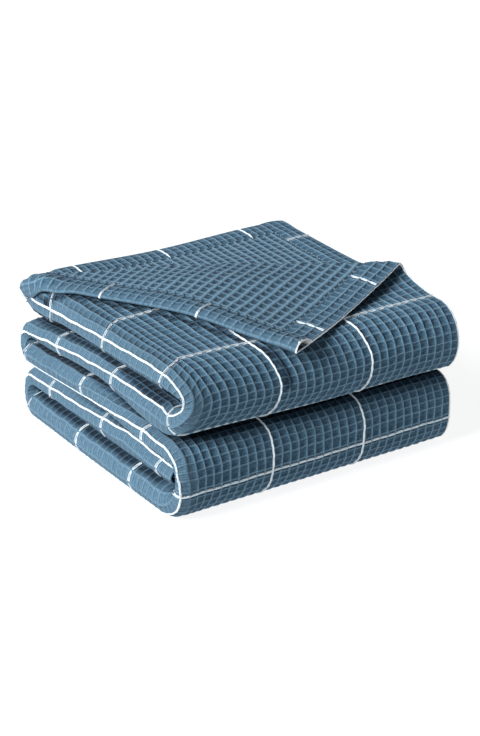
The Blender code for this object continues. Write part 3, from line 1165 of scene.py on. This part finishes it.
@dataclass
class WaffleSheet:
    """The woven cloth as one closed sheet, finely made where it shows and plain inside the stack.

    Each cell has nodes at set shares across and along. Neighbours share the nodes on their edges, so
    that the sheet is closed whatever their forms are.
    """

    shape: BlanketShape
    across_shares: tuple[float, ...] = (0.0, 0.14, 0.5, 0.86)
    along_shares: tuple[float, ...] = (0.0, 0.25, 0.75)
    plain_step: int = 4
    top_cells: tuple[int, int] = (33, 30)
    crest_cells: int = 28
    fourth_ply: float = 8.5
    fourth_cells: int = 94
    covered_margin: float = 16 * MM
    reverse_margin: float = 12 * MM
    fourth_margin: float = 6 * MM
    rim_bulge: float = 1.0 * MM
    rim_strip: float = 0.012
    rim_fill: float = 0.7
    tube_cells: float = 2.6
    tube_depth: float = 2.2
    tube_floor: float = 0.35
    forms: dict[ClothSide, Array] = field(default_factory=dict)

    def node_places(self) -> tuple[Array, Array]:
        """Places across and along, in cells, of all the rows and columns of nodes."""
        weave = self.shape.weave
        across = [cell + share for cell in range(weave.across) for share in self.across_shares]
        along = [cell + share for cell in range(weave.along) for share in self.along_shares]
        return np.array(across + [weave.across]), np.array(along + [weave.along])

    def choose_forms(self) -> None:
        """Gives each cell of both sides its form, from the zones and from what the turned corner covers."""
        shape, strip, corner, weave = self.shape, self.shape.strip, self.shape.corner, self.shape.weave
        for side in ClothSide:
            self.forms[side] = np.zeros((weave.across, weave.along), int)
        for zone in ZONES:
            for side in zone.sides:
                self.forms[side][slice(*zone.across), slice(*zone.along)] = zone.form.value
        across, along = np.indices((weave.across, weave.along)) + 0.5
        fold_across, fold_along = shape.panes(across, along)
        past, along_line = corner.beyond(strip, fold_across, fold_along)
        top = (across < self.top_cells[0]) & (along < self.top_cells[1])
        direction, towards, _ = corner.line()
        mirrored = np.array(corner.start) + along_line[..., None] * direction - past[..., None] * towards
        covered = (mirrored[..., 1] > self.covered_margin) & (past < 0)
        covered &= mirrored[..., 0] < strip.right - self.covered_margin
        under = (past > 0) & (across > weave.hem) & (along > weave.hem)
        self.forms[FACE][top & (across < self.crest_cells) & (covered | under)] = CellForm.PLAIN.value
        self.forms[REVERSE][top & (past > -self.reverse_margin)] = CellForm.WOVEN.value
        fourth = np.stack([fold_across - self.fourth_ply, fold_along], axis=-1) * strip.pane
        shown = (fourth - np.array(corner.start)) @ towards > -self.fourth_margin
        shown &= (across > self.fourth_cells) & (along < self.top_cells[1])
        self.forms[REVERSE][shown] = CellForm.WOVEN.value

    def blocks(self, side: ClothSide) -> list[Block]:
        """Cells of one side, with plain neighbours merged.

        Args:
            side: Side of the cloth.

        Returns:
            Blocks that cover the side.
        """
        weave, forms = self.shape.weave, self.forms[side]
        fine, long = len(self.across_shares), len(self.along_shares)
        turns = {row for first, last in TURN_ROWS for row in range(first, last + 1)}
        rows = [row for row in range(weave.along) if row % self.plain_step == 0 or row in turns]
        rows.append(weave.along)
        columns = list(range(0, weave.across, self.plain_step)) + [weave.across]
        found = []
        for a, a_end in zip(columns, columns[1:]):
            for b, b_end in zip(rows, rows[1:]):
                if not forms[a:a_end, b:b_end].any():
                    found.append(Block(CellForm.PLAIN, a * fine, a_end * fine, b * long, b_end * long))
                    continue
                for i, j in np.ndindex(a_end - a, b_end - b):
                    first, start = (a + i) * fine, (b + j) * long
                    form = CellForm(int(forms[a + i, b + j]))
                    found.append(Block(form, first, first + fine, start, start + long))
        return found

    def active_nodes(self, blocks: list[Block]) -> Array:
        """Marks the nodes that blocks use.

        Args:
            blocks: Blocks of one side.

        Returns:
            Whether each node across and along is in use.
        """
        active = np.zeros([len(places) for places in self.node_places()], bool)
        for form, i, i_end, j, j_end in blocks:
            across = range(i, i_end + 1) if form in (CellForm.WOVEN, CellForm.BENT) else (i, i_end)
            along = range(j, j_end + 1) if form is CellForm.WOVEN else (j, j_end)
            active[np.ix_(across, along)] = True
        return active

    def heights(self, side: ClothSide, across: Array, along: Array) -> Array:
        """Height of the weave on one side, which is nothing where all the cells round a place are plain.

        Args:
            side: Side of the cloth.
            across: Places across, in cells.
            along: Places along, in cells.

        Returns:
            The height above the plain surface, in metres.
        """
        shown = self.forms[side] >= CellForm.PITTED.value
        last = np.array(shown.shape)[:, None] - 1
        places = np.stack([across, along])
        after = np.clip(np.floor(places).astype(int), 0, last)
        before = np.clip(np.ceil(places).astype(int) - 1, 0, last)
        near = [shown[i, j] for i in (after[0], before[0]) for j in (after[1], before[1])]
        return np.where(np.any(near, axis=0), self.shape.weave_height(side, across, along), 0.0)

    def side_faces(self, blocks: list[Block], index: Array, free: int) -> tuple[Array, list[list[int]]]:
        """Faces of one side, which look away from the cloth on its face.

        Args:
            blocks: The side's blocks.
            index: Each node's vertex, or -1 where it isn't in use.
            free: The first vertex that is free for the middle of a block.

        Returns:
            The nodes that each added middle lies half way between, and the faces.
        """
        middles: list[tuple[float, float]] = []
        faces: list[list[int]] = []

        def ring(i: int, i_end: int, j: int, j_end: int) -> list[int]:
            """Vertices round a rectangle of nodes, in order.

            Args:
                i: Its first node one way.
                i_end: Its last node that way.
                j: Its first node the other way.
                j_end: Its last node that way.

            Returns:
                The vertices, without the nodes that have none.
            """
            walk = [*index[i:i_end, j], *index[i_end, j:j_end]]
            walk += [*index[i + 1 : i_end + 1, j_end][::-1], *index[i, j + 1 : j_end + 1][::-1]]
            return [int(vertex) for vertex in walk if vertex >= 0]

        for form, i, i_end, j, j_end in blocks:
            if form in (CellForm.WOVEN, CellForm.BENT):
                step = 1 if form is CellForm.WOVEN else j_end - j
                for k in range(i, i_end):
                    faces += [ring(k, k + 1, m, m + step) for m in range(j, j_end, step)]
                continue
            around = ring(i, i_end, j, j_end)
            if form is CellForm.PLAIN and len(around) == 4:
                faces.append(around)
                continue
            middles.append(((i + i_end) / 2, (j + j_end) / 2))
            faces += [[here, there, free] for here, there in zip(around, around[1:] + around[:1])]
            free += 1
        counts = (len(self.across_shares), len(self.along_shares))
        return np.array(middles).reshape(-1, 2) / counts, faces

    def rim_walk(self, active: Array) -> list[tuple[int, int]]:
        """Nodes in use round the cloth: along its end hem, its far side, its end and its near side.

        Args:
            active: Which nodes of the grid are in use.

        Returns:
            Their two places in the grid, in order.
        """
        last_i, last_j = active.shape[0] - 1, active.shape[1] - 1
        walk = [(i, 0) for i in range(last_i)] + [(last_i, j) for j in range(last_j)]
        walk += [(i, last_j) for i in range(last_i, 0, -1)] + [(0, j) for j in range(last_j, 0, -1)]
        return [node for node in walk if active[node]]

    def build(self, material: Material) -> Piece:
        """Makes the sheet.

        Args:
            material: Its finish.

        Returns:
            The object, with its maps and the attributes that its finish reads.
        """
        self.choose_forms()
        rows = self.node_places()
        blocks = {side: self.blocks(side) for side in ClothSide}
        active = {side: self.active_nodes(blocks[side]) for side in ClothSide}
        for edge in ((slice(None), 0), (slice(None), -1), (0, slice(None)), (-1, slice(None))):
            both = active[FACE][edge] | active[REVERSE][edge]
            active[FACE][edge] = active[REVERSE][edge] = both
        walk = self.rim_walk(active[FACE])
        points, places, backs, faces, edges = [], [], [], [], []
        count = 0
        for side in ClothSide:
            index = np.full(active[side].shape, -1)
            index[active[side]] = np.arange(active[side].sum()) + count
            middles, new_faces = self.side_faces(blocks[side], index, count + int(active[side].sum()))
            i, j = np.nonzero(active[side])
            here = np.concatenate([np.stack([rows[0][i], rows[1][j]], axis=-1), middles])
            points.append(self.shape.surface(side, *here.T, self.heights(side, *here.T)))
            places.append(here)
            backs.append(np.full(len(here), float(side is REVERSE)))
            faces += [face[:: side.value] for face in new_faces]
            edges.append([int(index[node]) for node in walk])
            count += len(here)
        places.append(np.array([(rows[0][i], rows[1][j]) for i, j in walk]))
        points.append(self.rim_points(*places[-1].T))
        backs.append(np.full(len(walk), 0.5))
        for k in range(len(walk)):
            after = (k + 1) % len(walk)
            faces.append([edges[0][k], count + k, count + after, edges[0][after]])
            faces.append([count + k, edges[1][k], edges[1][after], count + after])
        mesh = bpy.data.meshes.new("waffle_cloth")
        mesh.from_pydata(np.concatenate(points).tolist(), [], faces)
        mesh.materials.append(material)
        self.add_layers(mesh, np.concatenate(places), np.concatenate(backs), len(walk))
        mesh.shade_smooth()
        mesh.update()
        log.info("waffle_cloth: %d triangles", sum(len(face) - 2 for face in faces))
        return mesh_object("waffle_cloth", mesh)

    def add_layers(self, mesh: Mesh, places: Array, backs: Array, steps: int) -> None:
        """Adds the weave's map, a map for baking, and the attributes that the finish reads.

        The map for baking has the two sides beside each other, and the rim in a strip between them.

        Args:
            mesh: The sheet's mesh, whose last faces are the rim's, two for each step round the cloth.
            places: Each vertex's place on the weave, in cells.
            backs: 1 at the vertices of the reverse.
            steps: Count of the rim's steps.
        """
        weave, half = self.shape.weave, 0.5 - self.rim_strip
        corners = np.empty(len(mesh.loops), np.int32)
        mesh.loops.foreach_get("vertex_index", corners)
        chart = places[corners] / np.array([weave.across, weave.along])
        chart[:, 0] = chart[:, 0] * half + (backs[corners] > 0.5) * (0.5 + self.rim_strip)
        onward = (np.arange(steps)[:, None] + np.array([0, 0, 1, 1])) / steps
        sides = 0.5 + self.rim_strip * self.rim_fill * np.array([[-1, 0, 0, -1], [0, 1, 1, 0]])
        strip = np.stack(np.broadcast_arrays(sides[None], onward[:, None]), axis=-1)
        chart[-8 * steps :] = strip.reshape(-1, 2)
        for name, values in {"weave": places[corners], "OFBake": chart}.items():
            layer = mesh.uv_layers.new(name=name, do_init=False)
            layer.uv.foreach_set("vector", values.astype(np.float32).ravel())
        # Painted shade in crevices and under the turned hem, on the face and the rim; it also holds back
        # the bent weave's evening.
        painted_nook_shade = self.shape.painted_nook_shade(*places.T) * (backs < 1)
        turned = backs * self.shape.in_hem(*places.T)
        layers = {"reverse": backs, "turned": turned, "bent": self.shape.bent(*places.T) * (1 - painted_nook_shade)}
        for name, values in {**layers, "painted_nook_shade": painted_nook_shade}.items():
            layer = mesh.attributes.new(name, "FLOAT", "POINT")
            layer.data.foreach_set("value", values.astype(np.float32))

    def rim_points(self, across: Array, along: Array) -> Array:
        """Middle of the rounded edge, which is sunk into the mouth of the turned corner's rolled hem.

        Args:
            across: Places across round the cloth, in cells.
            along: Places along, in cells.

        Returns:
            Points in the row frame.
        """
        shape, weave = self.shape, self.shape.weave
        by_across, by_along, normal = shape.directions(across, along)
        outward = (across >= weave.across) * 1.0 - (across <= 0)
        onward = (along >= weave.along) * 1.0 - (along <= 0)
        away = unit(by_across * outward[:, None] + by_along * onward[:, None])
        sunk = shape.hem_height(across, along)[:, None] / 2
        rim = shape.middle(across, along) + away * self.rim_bulge - normal * sunk
        hollow = (across <= 0) & (along > 0) & (along < self.tube_cells)
        mouth = along[hollow]
        inward = self.tube_depth * np.sin(math.pi * mouth / self.tube_cells) ** 0.5
        depth_and_painted_shade = shape.surface(REVERSE, inward, mouth, 0.0) * self.tube_floor
        rim[hollow] = shape.middle(inward, mouth) * (1 - self.tube_floor) + depth_and_painted_shade
        return rim


# ---------------------------------------------------------------- yarns and stitches


@dataclass
class GuidedPiece:
    """A piece that Geometry Nodes make on a guide of points. The sizes are the tree's named inputs."""

    name: str
    material: Material
    sizes: dict[str, float | int]

    def form(self, tree: Tree, given: Any) -> Any:
        """The piece's own nodes, which each kind of piece gives.

        Args:
            tree: The node tree.
            given: Its inputs, which are the guide and the sizes.

        Returns:
            The finished shape.
        """
        raise NotImplementedError

    def build(self, points: Array, edges: list[tuple[int, int]], vectors: dict[str, Array]) -> Piece:
        """Runs the nodes and keeps what they make as a plain mesh.

        Args:
            points: Points of the guide, in the row frame.
            edges: Pairs of points that are joined.
            vectors: Named vectors on the points.

        Returns:
            One object, at the origin and with no modifier.
        """
        tree = bpy.data.node_groups.new(self.name + "_nodes", "GeometryNodeTree")
        tree.interface.new_socket("Geometry", in_out="INPUT", socket_type="NodeSocketGeometry")
        tree.interface.new_socket("Geometry", in_out="OUTPUT", socket_type="NodeSocketGeometry")
        keys = {}
        for name, value in self.sizes.items():
            kind = "NodeSocketInt" if isinstance(value, int) else "NodeSocketFloat"
            keys[name] = tree.interface.new_socket(name, in_out="INPUT", socket_type=kind).identifier
        formed = self.form(tree, add_node(tree, "NodeGroupInput").node.outputs)
        smooth = add_node(tree, "GeometryNodeSetShadeSmooth", [formed])
        real = add_node(tree, "GeometryNodeRealizeInstances", [smooth])
        dressed = add_node(tree, "GeometryNodeSetMaterial", {"Geometry": real, "Material": self.material})
        add_node(tree, "NodeGroupOutput", [dressed])
        guide = bpy.data.meshes.new(self.name + "_guide")
        guide.from_pydata(points.tolist(), edges, [])
        for name, values in vectors.items():
            layer = guide.attributes.new(name, "FLOAT_VECTOR", "POINT")
            layer.data.foreach_set("vector", values.astype(np.float32).ravel())
        made = mesh_object(self.name, guide)
        modifier = made.modifiers.new("nodes", "NODES")
        modifier.node_group = tree
        for name, value in self.sizes.items():
            modifier[keys[name]] = value
        mesh = bpy.data.meshes.new_from_object(made.evaluated_get(bpy.context.evaluated_depsgraph_get()))
        made.modifiers.remove(modifier)
        made.data = mesh
        mesh.name = self.name
        bpy.data.meshes.remove(guide)
        log.info("%s: %d faces", self.name, len(mesh.polygons))
        return made


class YarnTube(GuidedPiece):
    """Paths with the round body of a yarn."""

    def form(self, tree: Tree, given: Any) -> Any:
        """A circle swept along each path.

        Args:
            tree: The node tree.
            given: Its inputs.

        Returns:
            The tubes.
        """
        path = add_node(tree, "GeometryNodeMeshToCurve", [given["Geometry"]])
        sizes = {"Resolution": given["Sides"], "Radius": given["Yarn radius"]}
        ring = add_node(tree, "GeometryNodeCurvePrimitiveCircle", sizes)
        sockets = {"Curve": path, "Profile Curve": ring, "Fill Caps": True}
        return add_node(tree, "GeometryNodeCurveToMesh", sockets)


class StitchRow(GuidedPiece):
    """Short floats of thread, one on each point."""

    def lay(self, seats: list[Seats]) -> Piece:
        """Makes the floats of all the groups of seats."""
        points, heading, outward = (np.concatenate(group) for group in zip(*seats))
        return self.build(points, [], {"heading": heading, "outward": outward})

    def form(self, tree: Tree, given: Any) -> Any:
        """A tapered bead on each point, turned to its heading and to its outward side.

        Args:
            tree: The node tree.
            given: Its inputs.

        Returns:
            The beads.
        """
        node = partial(add_node, tree)
        bead = node("GeometryNodeMeshUVSphere", {"Segments": 6, "Rings": 5, "Radius": 1.0})
        lying = node("GeometryNodeTransform", {"Geometry": bead, "Rotation": (0.0, math.pi / 2, 0.0)})
        half = node(MATH, [given["Stitch length"], 0.5], operation="MULTIPLY")
        size = node("ShaderNodeCombineXYZ", [half, given["Thread radius"], given["Thread radius"]])
        heading, outward = (
            node("GeometryNodeInputNamedAttribute", {"Name": name}, data_type="FLOAT_VECTOR")
            for name in ("heading", "outward")
        )
        align = "FunctionNodeAlignRotationToVector"
        turned = node(align, {"Vector": heading}, axis="X")
        rolled = node(align, {"Rotation": turned, "Vector": outward}, axis="Z", pivot_axis="X")
        sockets = {"Points": given["Geometry"], "Instance": lying, "Rotation": rolled, "Scale": size}
        return node("GeometryNodeInstanceOnPoints", sockets)


@dataclass
class PaneYarns:
    """The white yarns of the windowpane check, which lie on the woven face and stand a little proud."""

    sheet: WaffleSheet
    line_radius: float = 0.41 * MM
    line_sides: int = 6
    dash_radius: float = 0.6 * MM
    dash_length: float = 10.6 * MM
    dash_height: float = 0.5 * MM
    dash_sink: float = 0.8 * MM
    rib_seat: float = 0.15 * MM
    steps_per_cell: int = 3
    mouth_points: int = 16
    sway: float = 0.035
    edge_seat: float = 0.3 * MM
    edge_waver: float = 0.5 * MM
    waver_drift: float = 1.7

    def stretches(self, side: ClothSide, across: int, last: int) -> list[tuple[int, int]]:
        """Where a line along the cloth shows.

        Args:
            side: Side of the cloth.
            across: The line's place across, in cells.
            last: The last edge of cells that it may reach.

        Returns:
            First and last edges of the stretches whose cells on either side show their weave.
        """
        shown = self.sheet.forms[side][across - 1 : across + 1, :last] >= CellForm.PITTED.value
        steps = np.diff(np.concatenate([[0], shown.any(axis=0), [0]]))
        return list(zip(np.nonzero(steps > 0)[0].tolist(), np.nonzero(steps < 0)[0].tolist()))

    def line_path(self, side: ClothSide, across: int, start: int, end: int) -> Array:
        """Middle of one white line, which lies on a rib or along the side hem's edge.

        Args:
            side: Side of the cloth.
            across: The line's place across, in cells.
            start: Its first edge of cells along.
            end: Its last edge.

        Returns:
            Points in the row frame.
        """
        shape = self.sheet.shape
        along = np.linspace(start, end, (end - start) * self.steps_per_cell + 1)
        places = np.full_like(along, float(across))
        if across == 0:
            by_across, _, normal = shape.directions(places, along)
            drift = np.sin(self.waver_drift * along)
            waver = self.edge_waver * np.sin(2 * math.pi * along + drift)
            sunk = shape.hem_height(places, along) / 2 + waver
            edge = shape.middle(places, along) - by_across * (self.sheet.rim_bulge - self.edge_seat)
            return edge - normal * sunk[:, None]
        top = shape.weave_height(side, places, along) + self.rib_seat
        swayed = places + self.sway * np.sin(2 * math.pi * along)
        return self.above_floor(shape.surface(side, swayed, along, top), self.line_radius)

    def above_floor(self, points: Array, radius: float) -> Array:
        """The points, with each at least a yarn's radius above the floor."""
        lowest = self.sheet.shape.floor() + radius
        return np.concatenate([points[..., :2], np.maximum(points[..., 2:], lowest)], axis=-1)

    def lines(self) -> list[Array]:
        """Paths of the solid white lines, on the face, the turned end hem and the side hem's edge."""
        shape, weave = self.sheet.shape, self.sheet.shape.weave
        mouth = np.linspace(self.sheet.tube_cells, 0.0, self.mouth_points)
        none = np.zeros_like(mouth)
        upper = shape.surface(REVERSE, none, mouth, -self.line_radius / 2)
        lower = shape.surface(FACE, none, mouth[::-1], 0.0)
        paths = [np.concatenate([upper, lower]), self.line_path(FACE, 0, weave.hem, weave.along)]
        for across in range(weave.per_pane, weave.across, weave.per_pane):
            for side, last in ((FACE, weave.along), (REVERSE, weave.hem)):
                stretches = self.stretches(side, across, last)
                paths += [self.line_path(side, across, *ends) for ends in stretches]
        return paths

    def dashes(self) -> list[Seats]:
        """Seats of the dashes, in the cells half way along each pane."""
        shape, weave = self.sheet.shape, self.sheet.shape.weave
        seats = []
        for side in ClothSide:
            shown = self.sheet.forms[side] >= CellForm.PITTED.value
            if side is REVERSE:
                shown[weave.hem : -weave.hem] = False
            along, across = np.nonzero(shown[:, weave.per_pane // 2 :: weave.per_pane].T)
            across = across + 0.5
            along = along * weave.per_pane + weave.mid_pane
            hanging = soft_step(-2 * shape.directions(across, along)[2][:, 2] * side.value)
            height = self.dash_height - self.dash_sink * hanging
            points, *ways = shape.seats(side, across, along, height, 0)
            seats.append((self.above_floor(points, self.dash_radius), *ways))
        return seats

    def build(self, material: Material) -> list[Piece]:
        """Makes the solid lines and the dashes.

        Args:
            material: Their finish.

        Returns:
            The two pieces.
        """
        paths = self.lines()
        ends = np.cumsum([len(path) for path in paths])
        edges = [(k - 1, k) for k in range(1, ends[-1]) if k not in ends]
        line_sizes = {"Yarn radius": self.line_radius, "Sides": self.line_sides}
        dash_sizes = {"Stitch length": self.dash_length, "Thread radius": self.dash_radius}
        lines = YarnTube("white_pane_lines", material, line_sizes).build(np.concatenate(paths), edges, {})
        return [lines, StitchRow("white_pane_dashes", material, dash_sizes).lay(self.dashes())]


@dataclass
class HemSeams:
    """Rows of blue stitches that hold the turned hems, on the reverse of the cloth."""

    sheet: WaffleSheet
    stitches_per_cell: int = 2
    length: float = 3.4 * MM
    radius: float = 0.28 * MM
    height: float = 0.4 * MM
    inwards: float = 0.25

    def places(self) -> list[tuple[Array, Array, int]]:
        """Places of the stitches across and along, and 0 or 1 for a row across or along the cloth."""
        weave = self.sheet.shape.weave
        step = 1 / self.stitches_per_cell
        rows = []
        for way, (length, width) in enumerate(((weave.across, weave.along), (weave.along, weave.across))):
            run = np.arange(weave.hem + step / 2, length - weave.hem, step)
            for place in (weave.hem, width - weave.hem):
                pair = (run, np.full_like(run, float(place)))
                rows.append((*(pair[::-1] if way else pair), way))
        return rows

    def build(self, material: Material) -> Piece:
        """Makes the stitches where the reverse shows.

        Args:
            material: Their finish.

        Returns:
            The piece.
        """
        shape, forms = self.sheet.shape, self.sheet.forms[REVERSE]
        seats = []
        for across, along, way in self.places():
            cells = np.floor(np.stack([across, along]) - self.inwards).astype(int)
            shown = forms[tuple(cells)] >= CellForm.PITTED.value
            seats.append(shape.seats(REVERSE, across[shown], along[shown], self.height, way))
        sizes = {"Stitch length": self.length, "Thread radius": self.radius}
        return StitchRow("hem_stitches", material, sizes).lay(seats)


# ---------------------------------------------------------------- studio


@dataclass(frozen=True)
class Studio:
    """A pale floor, soft light from the upper left, and the camera at the photograph's angle."""

    origin: Three
    target: Three = (150 * MM, 140 * MM, 70 * MM)
    distance: float = 2.0
    azimuth: float = 32.93
    elevation: float = 22.98
    focal_share: float = 1.0668
    aim_right: float = 2.9
    aim_down: float = 10.8
    sensor: float = 36.0
    farthest: float = 100.0
    floor_size: float = 14.0
    floor_shades: tuple[str, str] = ("727476", "767879")
    floor_glow: float = 0.89
    floor_roughness: float = 0.9
    floor_specular: float = 0.1
    floor_unevenness: float = 0.7
    key_strength: float = 6.3
    key_direction: Three = (-0.84, -0.02, 0.56)
    key_softness: float = 32.0
    fill_shade: str = "F4F7FA"
    fill_strength: float = 0.2

    def build(self) -> None:
        """Makes the floor, the lights and the camera."""
        self.floor()
        self.lights()
        self.camera()

    def floor(self) -> None:
        """The floor: smooth painted board, pale and matt, with a faint unevenness of its paint."""
        half = self.floor_size / 2
        mesh = bpy.data.meshes.new("studio_floor")
        corners = [(-half, -half, 0.0), (half, -half, 0.0), (half, half, 0.0), (-half, half, 0.0)]
        mesh.from_pydata(corners, [], [(0, 1, 2, 3)])
        values = {"Roughness": self.floor_roughness, "Specular IOR Level": self.floor_specular}
        values |= {"Emission Color": colour("FFFFFF"), "Emission Strength": self.floor_glow}
        material, shader = new_finish("painted_floor", values)
        node = partial(add_node, material.node_tree)
        place = node("ShaderNodeTexCoord", out="Object")
        noise = node(NOISE, {"Vector": place, "Scale": self.floor_unevenness})
        shades = {0: noise, 6: colour(self.floor_shades[0]), 7: colour(self.floor_shades[1])}
        material.node_tree.links.new(node(MIX, shades, 2, data_type="RGBA"), shader.inputs["Base Color"])
        mesh.materials.append(material)
        mesh_object("studio_floor", mesh)

    def lights(self) -> None:
        """A broad key light from the upper left, and an even sky."""
        key = bpy.data.lights.new("key", "SUN")
        key.energy = self.key_strength
        key.angle = math.radians(self.key_softness)
        lamp = bpy.data.objects.new("key", key)
        lamp.rotation_euler = Vector(self.key_direction).to_track_quat("Z", "Y").to_euler()
        bpy.context.scene.collection.objects.link(lamp)
        world = bpy.data.worlds.new("studio")
        world.use_nodes = True
        background = world.node_tree.nodes["Background"]
        background.inputs[0].default_value = colour(self.fill_shade)
        background.inputs[1].default_value = self.fill_strength
        bpy.context.scene.world = world

    def camera(self) -> None:
        """The camera, a long lens two metres away, with no shift and no depth of field."""
        turn, tilt = math.radians(self.azimuth), math.radians(self.elevation)
        back = Vector((-math.sin(turn) * math.cos(tilt), -math.cos(turn) * math.cos(tilt), math.sin(tilt)))
        right = Vector((math.cos(turn), -math.sin(turn), 0.0))
        up = back.cross(right)
        focal = self.focal_share * self.distance / MM
        aim = Vector(self.target) + Vector(self.origin)
        eye = aim + back * self.distance
        aim += (right * self.aim_right - up * self.aim_down) * (self.distance / focal)
        towards = (aim - eye).normalized()
        side = towards.cross(Vector((0, 0, 1))).normalized()
        top = side.cross(towards)
        data = bpy.data.cameras.new("camera")
        data.sensor_width = self.sensor
        data.lens = focal / PHOTO_HEIGHT * self.sensor
        data.clip_end = self.farthest
        camera = bpy.data.objects.new("camera", data)
        camera.matrix_world = Matrix.Translation(eye) @ Matrix((side, top, -towards)).transposed().to_4x4()
        bpy.context.scene.collection.objects.link(camera)
        bpy.context.scene.camera = camera


# ---------------------------------------------------------------- putting it together


CREST_OUT = 6.2 * MM
LOBE_OUT = 7.52 * MM


def main() -> None:
    """Builds the blanket's pieces in order, then the studio."""
    logging.basicConfig(level=logging.INFO, format="%(message)s")
    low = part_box(NODE)[0]
    origin = (low.x + CREST_OUT, low.y + LOBE_OUT, low.z - FLOOR)
    sheet = WaffleSheet(BlanketShape(origin))
    cloth = sheet.build(WaffleCotton().build(sheet.shape.weave))
    # The white yarn takes a painted glow that keeps it bright in shade.
    white = CottonYarn("white_cotton_yarn", "B2BDC4", "A0ADB5", painted_glow=0.34).build()
    thread = CottonYarn("blue_sewing_thread", "6A899E", "54738A").build()
    trims = PaneYarns(sheet).build(white) + [HemSeams(sheet).build(thread)]
    for piece in (cloth, *trims):
        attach(piece, BODY)
        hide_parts(NODE)
    Studio(origin).build()
    bpy.context.scene.view_settings.view_transform = "Standard"


if __name__ == "__main__":
    main()
